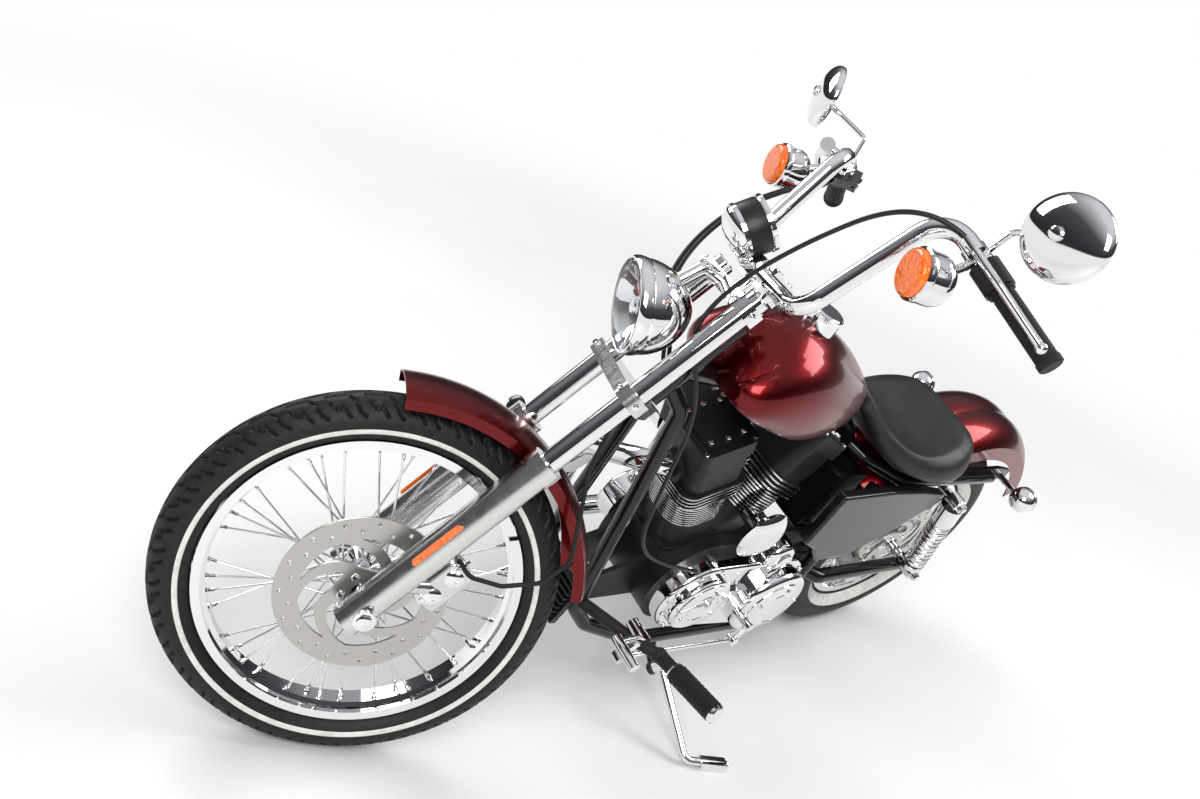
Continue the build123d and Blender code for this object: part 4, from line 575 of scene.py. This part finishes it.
shape = bmesh.new()
for side in (-1, 1):
    rows = []
    for share in np.linspace(0, 1, 25):
        along = 118 + 104 * share
        wide = 8.5 * (1 - abs(2 * share - 1) ** 24) + 0.4
        row = []
        for turn in np.linspace(-1, 1, 7):
            row.append((wide * turn, 31.6 - 0.5 * turn * turn))
        for turn in np.linspace(1, -1, 7):
            row.append((wide * turn, 28))
        rows.append([fork_point(side * (leg_y + h * 0.82), along, h * 0.57 + w) for w, h in row])
    rings = joined(shape, rows)
    shape.faces.new(list(reversed(rings[0])))
    shape.faces.new(rings[-1])
piece("fork_reflectors", shape, fork, "fork", "amber_lens")

# Caliper details
# Two piston caps, the bleed screw and the bolts that hold the caliper to its slider.
caliper = front_axle + Vector((-118, 56.3, 62))
shape = bmesh.new()
for along in (-24, 24):
    cap = toward(caliper + up * along + left * 23, left)
    turned(shape, cap, ((0, -1), (17, -1), (17, 1.5), (14, 4), (5, 5), (4, 3), (0, 3)))
for along in (-40, 40):
    hex_bolt(shape, caliper + up * along + left * 22 + ahead * 8, left, 6, 6)
bleed = ((5, -4), (5, 4), (3, 5), (3, 12), (0, 12))
turned(shape, toward(caliper + up * 50 + left * 8, up), bleed, 6)
piece("caliper_bolts", shape, fork, "fork", "chrome")

# Headlight
# A deep chromed reflector with a bulb shield behind the clear glass, and a bright
# rim that clamps the glass to the bullet shell.
lamp = fork_point(0, 646.8, 90.6)
lamp_way = Vector((cos(radians(11)), 0, -sin(radians(11))))
lamp_place = toward(lamp, lamp_way)
shape = bmesh.new()
bowl = [(r, -56 + 48 * (r / 72) ** 2) for r in range(16, 73, 4)]
profile = [(14, -56)] + bowl + [(73, -9), (20, -62)]
turned(shape, lamp_place, profile, 72)
piece("headlight_reflector", shape, fork, "fork", "chrome", 20)
shape = bmesh.new()
shield = ((0, -16), (12, -18), (15, -22), (15, -34), (12, -38), (9, -54), (0, -54))
turned(shape, lamp_place, shield, 32)
piece("headlight_shield", shape, fork, "fork", "chrome")
shape = bmesh.new()
rim = ((74, -4), (74, 4), (76, 7), (79, 7), (82, 3), (83, -4))
rim += ((82, -14), (80.4, -17), (80.4, -6), (76, -4), rim[0])
turned(shape, lamp_place, rim, 96)
piece("headlight_rim", shape, fork, "fork", "chrome")
shape = bmesh.new()
glass_r = 73.4
dome = [(r, 7.6 + 6 * (1 - (r / glass_r) ** 2)) for r in (glass_r, 66, 56, 44, 30, 15, 0)]
turned(shape, lamp_place, dome, 72)
piece("headlight_glass", shape, fork, "fork", "clear_lens", 60)

# Speedometer
# A black barrel between chromed rims; a black dial with a plain white scale and
# pointer under flat glass faces the rider.
dial_front = fork_point(0, 853.5, 72.9)
dial_back = fork_point(0, 903, 55.3)
dial_way = (dial_back - dial_front).normalized()
shape = bmesh.new()
turned(shape, toward(dial_front, dial_way), ((46.4, 8), (47, 10), (47, 42), (46.4, 44)), 72)
piece("speedometer_barrel", shape, fork, "fork", "black_plastic")
shape = bmesh.new()
turned(shape, toward(dial_front, -dial_way), ((46, -1), (45, 4), (38, 12), (22, 18), (0, 20)), 72)
piece("speedometer_cup", shape, fork, "fork", "chrome")
face = toward(dial_back - dial_way * 1.6, dial_way)
shape = bmesh.new()
turned(shape, face, ((0, 0), (42.8, 0)), 72)
piece("speedometer_face", shape, fork, "fork", "dial_black")
marks, first_mark, sweep, scale_r = 40, 225, 270, 39
shape = bmesh.new()
for k in range(marks + 1):
    turn = radians(first_mark - sweep * k / marks)
    inner = 33 if k % 5 == 0 else 36
    wide = 0.8 if k % 5 == 0 else 0.4
    out_way = Vector((cos(turn), sin(turn), 0))
    across = Vector((-sin(turn), cos(turn), 0)) * wide
    lift = Vector((0, 0, 0.3))
    near, far = out_way * inner, out_way * scale_r
    corners = [near - across, far - across, far + across, near + across]
    shape.faces.new([shape.verts.new(face @ (corner + lift)) for corner in corners])
turn = radians(first_mark)
tip = Vector((cos(turn), sin(turn), 0))
across = Vector((-sin(turn), cos(turn), 0))
lift = Vector((0, 0, 1.0))
near, far = tip * -8, tip * 30
corners = (near - across * 1.4, far - across * 0.4, far + across * 0.4, near + across * 1.4)
shape.faces.new([shape.verts.new(face @ (corner + lift)) for corner in corners])
turned(shape, face, ((5, 0.2), (5, 1.6), (0, 1.8)), 20)
piece("speedometer_scale", shape, fork, "fork", "dial_white", 60)

# Grips and foot pegs
# Rubber sleeves with moulded rings; the grips' outer ends carry rubber caps, the pegs' outer ends
# polished caps.
bar_top = fork_point(192, 1109.7, -26)
bar_end = fork_point(411, 1071.1, -192.8)
grip_way = (bar_end - bar_top).normalized()
grip_ahead = (ahead - grip_way * ahead.dot(grip_way)).normalized()
grip_length = (bar_end - bar_top).length


def flip(point, side):
    """The point itself, or with side -1 its mirror image on the bike's right."""
    return Vector((point[0], point[1] * side, point[2]))


def grip_point(side, along, forward=0.0, above=0.0):
    """A point along the bar's end from its bend, ahead of the bar's middle and above it."""
    over = grip_way.cross(grip_ahead) * -1
    return flip(bar_top + grip_way * along + grip_ahead * forward + over * above, side)


shape = bmesh.new()
for side in (-1, 1):
    start = toward(grip_point(side, grip_length - 128), flip(grip_way, side))
    profile = []
    for k in range(19):
        base = 6 + k * 6.2
        profile += [(17.3, base), (17.9, base + 0.8), (17.9, base + 4.6), (17.3, base + 5.4)]
    turned(shape, start, profile, 40)
piece("grip_ribs", shape, fork, "fork", "rubber", 30)
shape = bmesh.new()
for side in (-1, 1):
    end = toward(grip_point(side, grip_length), flip(grip_way, side))
    turned(shape, end, ((17.5, -12), (19.5, -9), (19.5, 1), (17, 3), (0, 3.4)), 40)
piece("grip_caps", shape, fork, "fork", "rubber")

peg_elbow = Vector((985, 240, 352))
peg_end = Vector((978, 396, 384))
peg_way = (peg_end - peg_elbow).normalized()
shape = bmesh.new()
caps = bmesh.new()
for side in (-1, 1):
    start = toward(flip(peg_elbow + peg_way * 44, side), flip(peg_way, side))
    profile = [(19, 4)]
    for k in range(11):
        base = 7 + k * 9.6
        profile += [(19.2, base), (20.8, base + 1.2), (20.8, base + 5.8), (19.2, base + 7.0)]
    turned(shape, start, profile, 40)
    tip = toward(flip(peg_end, side), flip(peg_way, side))
    collar = toward(flip(peg_elbow + peg_way * 40, side), flip(peg_way, side))
    turned(caps, tip, ((19.6, -5), (19.6, 0), (17, 3), (0, 4)), 32)
    turned(caps, collar, ((14, 0), (20, 2), (20, 5), (14, 6)), 32)
piece("peg_ribs", shape, chassis, "chassis", "rubber", 30)
piece("peg_caps", caps, chassis, "chassis", "chrome")

# Mirrors
# Domed chromed oval shells on bent stalks, each with silvered glass let into its back,
# and a ball where the stalk meets the shell.


def cable(name, points, radius, paint):
    """A smooth tube along a curve through given points."""
    curve = bpy.data.curves.new(name, "CURVE")
    curve.dimensions = "3D"
    spline = curve.splines.new("NURBS")
    spline.points.add(len(points) - 1)
    for spot, point in zip(spline.points, points):
        spot.co = (*point, 1.0)
    spline.order_u = 3
    spline.use_endpoint_u = True
    spline.resolution_u = 10
    curve.bevel_depth = radius
    curve.bevel_resolution = 3
    curve.use_fill_caps = True
    holder = bpy.data.objects.new(name + "_curve", curve)
    scene.collection.objects.link(holder)
    graph = bpy.context.evaluated_depsgraph_get()
    mesh = bpy.data.meshes.new_from_object(holder.evaluated_get(graph))
    bpy.data.objects.remove(holder)
    made = bpy.data.objects.new(name, mesh)
    scene.collection.objects.link(made)
    mesh.materials.clear()
    mesh.materials.append(finish[paint])
    mesh.polygons.foreach_set("use_smooth", [True] * len(mesh.polygons))
    return made


shape = bmesh.new()
shells = bmesh.new()
mirror = fork_point(430, 1170.9, -24)
glass_rows = ((0.93, 2.3), (0.92, 3.2), (0.6, 2.9), (0.3, 2.8))
shell_rows = [(0.3, -2.2), (0.93, -2.2), (0.95, -4), (0.99, -4), (1.0, -2), (1.0, 1)]
shell_rows += [(cos(turn) ** 0.8, 1 + 22 * sin(turn)) for turn in np.linspace(0.12, 1.5, 14)]
for side in (-1, 1):
    normal = Vector((1, side * 0.25, 0.05)).normalized()
    across = Vector((0, 1, 0.1))
    wide = (across - normal * across.dot(normal)).normalized()
    tall = normal.cross(wide)
    centre = flip(mirror, side)
    turns = np.linspace(0, 2 * pi, 72, endpoint=False)
    oval = [(wide * 75.6 * cos(turn) + tall * 61.6 * sin(turn)) for turn in turns]
    inner = [[centre - normal * depth + way * share for way in oval] for share, depth in glass_rows]
    outer = [[centre + normal * lift + way * share for way in oval] for share, lift in shell_rows]
    glass = joined(shape, inner)
    shape.faces.new(glass[-1])
    shell = joined(shells, outer)
    shells.faces.new(list(reversed(shell[0])))
    shells.faces.new(shell[-1])
    knuckle = centre + normal * 21
    turned(shells, toward(knuckle, normal), ((0, -6), (9, -4), (11, 2), (9, 8), (0, 11)), 24)
    foot, bend = grip_point(side, 82, 0, 19), grip_point(side, 84, 12, 60)
    run = [foot, foot.lerp(bend, 0.8), bend, bend.lerp(knuckle, 0.12), knuckle + normal * 6]
    stalk = cable("mirror_stalk", [fork @ spot for spot in run], 0.005, "chrome")
    stalk.name = "mirror_stalk_left" if side > 0 else "mirror_stalk_right"
    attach(stalk, "fork")
made = piece("mirror_shells", shells, fork, "fork", "chrome", 40)
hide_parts("mirrors")
piece("mirror_glass", shape, fork, "fork", "chrome", 60)

# Signals
# Red lenses that close the chromed balls at the rear, each in a turned rim, and a
# chromed rim round each front shell.
stalk_bolt_y = 99.4
shape = bmesh.new()
rims = bmesh.new()
for side in (-1, 1):
    centre = Vector((-88, side * 194, 631))
    ball = toward(centre, Vector((-1, 0, 0.05)))
    turned(shape, ball, ((28.2, 12), (28.5, 15), (27, 21), (20, 27), (10, 30.5), (0, 31.6)), 40)
    turned(rims, ball, ((28.6, 8), (30.9, 8), (31.2, 12), (28.2, 16), (27.6, 12)), 40)
    hex_bolt(rims, (-112, side * stalk_bolt_y, 617), left * side, 7, 5)
piece("rear_signal_lenses", shape, chassis, "chassis", "red_lens", 60)
piece("rear_signal_rims", rims, chassis, "chassis", "chrome")
signal = fork_point(293, 1010.3, -20)
shape = bmesh.new()
for side in (-1, 1):
    mouth = toward(flip(signal, side) + Vector((10, 0, 0)), (1, 0, 0))
    turned(shape, mouth, ((40.2, -8), (41.4, -6), (41.4, 2), (38.4, 4), (37.2, 1)), 56)
piece("signal_rims_front", shape, fork, "fork", "chrome")

# Bar fastenings and switches
# Screws of the lever perches and of the bar clamps, the levers' pivot bolts, and three
# small black buttons on each switch housing.
shape = bmesh.new()
buttons = bmesh.new()
for side in (-1, 1):
    for along in (72, 92):
        cap_screw(shape, grip_point(side, along, -18, 0), -flip(grip_ahead, side), 4, 4)
    over = grip_point(side, 80, 46, 15) - grip_point(side, 80, 46, 14)
    hex_bolt(shape, grip_point(side, 80, 46, 10), over, 6, 3)
    for step, above in ((-6, 8), (-6, -8), (8, 0)):
        spot = grip_point(side, 121 + step, -35, above)
        place = toward(spot, -flip(grip_ahead, side))
        turned(buttons, place, ((5, -2), (5, 3), (4, 4), (0, 4.4)), 16)
    clamp = fork_point(side * 34, 845.4, -26.6)
    for forward in (-14, 14):
        for step in (-8, 8):
            cap_screw(shape, clamp + up * 22 + ahead * forward + left * step, up, 4, 3.5)
piece("bar_screws", shape, fork, "fork", "chrome")
piece("switch_buttons", buttons, fork, "fork", "black_plastic")

# Engine edges
# The black cylinders carry machined fins: each fin's rim is bare bright metal.
crank = Vector((785, 0, 352))


def bank_frame(sign, height):
    """A point up a cylinder's axis, the way across the engine there, and the axis."""
    lean = radians(22.5 * sign)
    way = Vector((sin(lean), 0, cos(lean)))
    side_way = Vector((cos(lean), 0, -sin(lean)))
    return crank + way * height, side_way, way


def round_box(wide, deep, radius, grow):
    """The outline of a rounded rectangle, moved outwards by a little."""
    steps = 8
    spots = []
    for corner, (sx, sy) in enumerate(((1, 1), (-1, 1), (-1, -1), (1, -1))):
        for k in range(steps + 1):
            turn = pi / 2 * (corner + k / steps)
            spots.append((
                sx * (wide / 2 - radius) + (radius + grow) * cos(turn),
                sy * (deep / 2 - radius) + (radius + grow) * sin(turn),
            ))
    return spots


shape = bmesh.new()
barrel_fins = [(181 + 7 * k, 140, 132, 52) for k in range(10)]
head_fins = [(255 + 10 * k, 150, 144, 30) for k in range(4)]
middle_gap = 0.4
for sign in (-1, 1):
    for height, wide, deep, radius in barrel_fins + head_fins:
        origin, side_way, way = bank_frame(sign, height)
        rows = []
        for grow, lift in ((-2.2, -0.12), (0.3, -0.12), (0.3, 3.12), (-2.2, 3.12)):
            row = []
            for a, b in round_box(wide, deep, radius, grow):
                spot = origin + side_way * a + left * b + way * lift
                if (spot.x - crank.x) * sign < middle_gap:
                    spot.x = crank.x + middle_gap * sign
                row.append(spot)
            rows.append(row)
        joined(shape, rows, close_rows=True)
piece("fin_edges", shape, chassis, "chassis", "polished_alloy", 30)

# Engine fastenings
# Screws and bolts of the rocker covers and round the primary cover's two lobes.
shape = bmesh.new()
for sign in (-1, 1):
    origin, side_way, way = bank_frame(sign, 417)
    for a, b in ((36, 40), (-36, 40), (36, -40), (-36, -40), (0, 43), (0, -43)):
        cap_screw(shape, origin + side_way * a + left * b, way, 5.5, 5)
    origin, side_way, way = bank_frame(sign, 412)
    for a, b in ((54, 58), (-54, 58), (54, -50), (-54, -50)):
        hex_bolt(shape, origin + side_way * a + left * b, way, 4.5, 4)
lip_y = 132
lobes = ((790, 345, 85, (100, 60, 20, -20, -60, -100)), (560, 322, 99, (130, 175, 215, 255)))
for x, z, r, turns in lobes:
    for turn in turns:
        spot = Vector((x + r * cos(radians(turn)), lip_y, z + r * sin(radians(turn))))
        cap_screw(shape, spot, left, 4.5, 4)
piece("engine_screws", shape, chassis, "chassis", "chrome")

# Engine covers
# Turned, stepped caps on the primary cover's lobes and its starter dome, and on the
# air cleaner, with their rings of screws.


def screw_ring(shape, centre, way, ring_r, count, turn, r, h):
    """Screws spaced round a centre, in a plane along the bike."""
    for k in range(count):
        angle = radians(360 / count * k + turn)
        cap_screw(shape, centre + Vector((cos(angle), 0, sin(angle))) * ring_r, way, r, h)


front_cap = ((66, -1), (66, 2), (62, 4), (40, 5), (38, 3.4), (36, 5), (0, 7))
rear_cap = ((72, -1), (72, 2), (68, 5), (50, 7.5), (48, 6), (46, 7.5), (0, 11))
starter_cap = ((20, -1), (20, 1.5), (17, 3), (0, 3.4))
filter_cap = ((70, -1), (70, 2), (66, 5), (30, 8), (0, 9))
shape = bmesh.new()
turned(shape, toward(Vector((790, 150, 345)), left), front_cap, 72)
turned(shape, toward(Vector((560, 168, 322)), left), rear_cap, 72)
turned(shape, toward(Vector((604, 142, 446)), left), starter_cap, 48)
piece("primary_caps", shape, chassis, "chassis", "chrome", 30)
shape = bmesh.new()
screw_ring(shape, Vector((560, 174, 322)), left, ring_r=60, count=5, turn=90, r=4.5, h=3.5)
screw_ring(shape, Vector((790, 154, 345)), left, ring_r=52, count=3, turn=90, r=4.5, h=3.5)
turned(shape, toward(Vector((785, -210, 618)), -left), filter_cap, 72)
screw_ring(shape, Vector((785, -216, 618)), -left, ring_r=48, count=3, turn=30, r=5, h=4)
piece("cover_screws", shape, chassis, "chassis", "chrome")

# Springs
# A chromed coil spring round each shock body, and the shocks' outer bolts.


def coil(shape, start, end, radius, wire, turns, sides=8, steps_per_turn=22):
    """A round wire wound evenly from one point to another."""
    place = toward(start, end - start)
    length = (end - start).length
    steps = int(turns * steps_per_turn)
    rows = []
    for k in range(steps + 1):
        turn = 2 * pi * turns * k / steps
        centre = Vector((radius * cos(turn), radius * sin(turn), length * k / steps))
        out_way = Vector((cos(turn), sin(turn), 0))
        row = []
        for j in range(sides):
            spin = 2 * pi * j / sides
            round_wire = out_way * wire * cos(spin) + Vector((0, 0, wire * sin(spin)))
            row.append(place @ (centre + round_wire))
        rows.append(row)
    rings = joined(shape, rows)
    shape.faces.new(list(reversed(rings[0])))
    shape.faces.new(rings[-1])


shock_y = 160
shape = bmesh.new()
caps = bmesh.new()
for side in (-1, 1):
    top = Vector((150, side * shock_y, 613))
    foot = Vector((48, side * shock_y, 353))
    way = (top - foot).normalized()
    coil(shape, foot + way * 36, foot + way * 208, radius=22.5, wire=4.6, turns=10)
    for end in (foot, top):
        hex_bolt(caps, end + left * side * 24, left * side, 9, 7)
piece("shock_springs", shape, chassis, "chassis", "chrome", 60)
piece("shock_bolts", caps, chassis, "chassis", "chrome")

# Rear fastenings
# Fender strut bolts, the rear axle nuts and the side cover's screws.
strut_y, axle_y, cover_y = 104.6, 152, 130
shape = bmesh.new()
for side in (-1, 1):
    for x, z in ((250, 629), (60, 624), (-40, 620)):
        hex_bolt(shape, (x, side * strut_y, z), left * side, 8, 6)
hex_bolt(shape, (0, axle_y, 326), left, 14, 10)
hex_bolt(shape, (0, -axle_y, 326), -left, 14, 10)
for x, z in ((431, 560), (300, 632)):
    cap_screw(shape, (x, cover_y, z), left, 6, 4)
piece("rear_bolts", shape, chassis, "chassis", "chrome")

# Tank cap
# A knurled band round the chromed filler cap.
shape = bmesh.new()
cap_place = toward(Vector((869.3, 0, 1012)), Vector((-3, 0, 53)))
knurls, knurl_deep = 48, 0.7
rows = []
for h, r in ((-6, 33.2), (3, 33.2), (4.5, 32)):
    row = []
    for t in np.linspace(0, 2 * pi, 288, endpoint=False):
        reach = r + knurl_deep * cos(knurls * t)
        row.append(cap_place @ Vector((reach * cos(t), reach * sin(t), h)))
    rows.append(row)
joined(shape, rows)
piece("cap_knurl", shape, chassis, "chassis", "chrome", 20)

# Seat
# A solo pad: foam under one smooth black cover, held by the frame's rails. The pad
# swells a little under its own pressure.


def padded(node, name, voxel, pressure, cap):
    """A copy of a packed pad, remeshed, swollen as cloth by no more than cap, and smoothed."""
    cloth_frames = 20
    mesh = nodes[node].data.copy()
    made = bpy.data.objects.new(name, mesh)
    scene.collection.objects.link(made)
    shrink = made.modifiers.new("shrink", "DISPLACE")
    shrink.strength = -0.002
    shrink.mid_level = 0.0
    remesh = made.modifiers.new("remesh", "REMESH")
    remesh.mode = "VOXEL"
    remesh.voxel_size = voxel
    graph = bpy.context.evaluated_depsgraph_get()
    even = bpy.data.meshes.new_from_object(made.evaluated_get(graph))
    made.modifiers.clear()
    made.data = even
    start = np.array([v.co[:] for v in even.vertices])
    cloth = made.modifiers.new("cloth", "CLOTH")
    cloth.settings.quality = 6
    cloth.settings.use_pressure = True
    cloth.settings.uniform_pressure_force = pressure
    cloth.settings.effector_weights.gravity = 0
    for frame_number in range(1, cloth_frames + 1):
        scene.frame_set(frame_number)
    graph = bpy.context.evaluated_depsgraph_get()
    swollen = bpy.data.meshes.new_from_object(made.evaluated_get(graph))
    end = np.array([v.co[:] for v in swollen.vertices])
    move = end - start
    length = np.linalg.norm(move, axis=1, keepdims=True)
    end = start + move * np.minimum(1, cap / np.maximum(length, 1e-9))
    made.modifiers.clear()
    made.data = swollen
    swollen.vertices.foreach_set("co", end.ravel())
    scene.frame_set(1)
    smooth = made.modifiers.new("smooth", "SMOOTH")
    smooth.factor = 0.5
    smooth.iterations = 6
    finer = made.modifiers.new("finer", "SUBSURF")
    finer.levels = 1
    finer.render_levels = 1
    graph = bpy.context.evaluated_depsgraph_get()
    final = bpy.data.meshes.new_from_object(made.evaluated_get(graph))
    made.modifiers.clear()
    made.data = final
    final.materials.clear()
    final.materials.append(finish["seat_cover"])
    final.polygons.foreach_set("use_smooth", [True] * len(final.polygons))
    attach(made, "chassis")
    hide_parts(node)


padded("seat", "seat_pad", voxel=0.006, pressure=2.0, cap=0.004)

# Cables
# A black sheathed clutch cable and two throttle cables, each held at the bar and at
# the engine, which bend at the steering head where the fork turns.
clutch_fork = [
    grip_point(1, 65.6, 46),
    (985, 246, 1294),
    (1048, 200, 1268),
    (1100, 136, 1180),
    (1150, 100, 1095),
    (1180, 74, 1015),
    (1182, 57, 950),
]
clutch_frame = [
    (1148, 50, 880),
    (1108, 66, 792),
    (1082, 80, 640),
    (1046, 92, 500),
    (952, 110, 452),
    (842, 117, 426),
]
throttle_fork = [
    grip_point(-1, 112, 0, -26),
    (926, -262, 1206),
    (972, -230, 1200),
    (1016, -205, 1184),
    (1092, -182, 1132),
    (1146, -152, 1072),
    (1182, -112, 1014),
    (1196, -66, 966),
    (1180, -46, 924),
]
throttle_frame = [
    (1140, -48, 880),
    (1104, -50, 824),
    (1000, -50, 796),
    (900, -44, 778),
    (836, -42, 752),
    (798, -42, 692),
    (790, -42, 638),
]
cable_r = 0.004


def crossing(name, fork_run, frame_run, aside, node):
    """A cable that follows the fork above the head and the frame below it."""
    upper = [fork @ (Vector(point) + aside) for point in fork_run]
    lower = [chassis @ (Vector(point) + aside) for point in frame_run]
    made = cable(name, upper + lower, cable_r, "black_plastic")
    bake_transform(made)
    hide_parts(node)


beside = Vector((5, -8, -3))
crossing("clutch_cable_sheath", clutch_fork, clutch_frame, Vector((0, 0, 0)), "clutch_cable")
crossing("throttle_cable_pull", throttle_fork, throttle_frame, Vector((0, 0, 0)), "throttle_cables")
crossing("throttle_cable_return", throttle_fork, throttle_frame, beside, "throttle_cables")
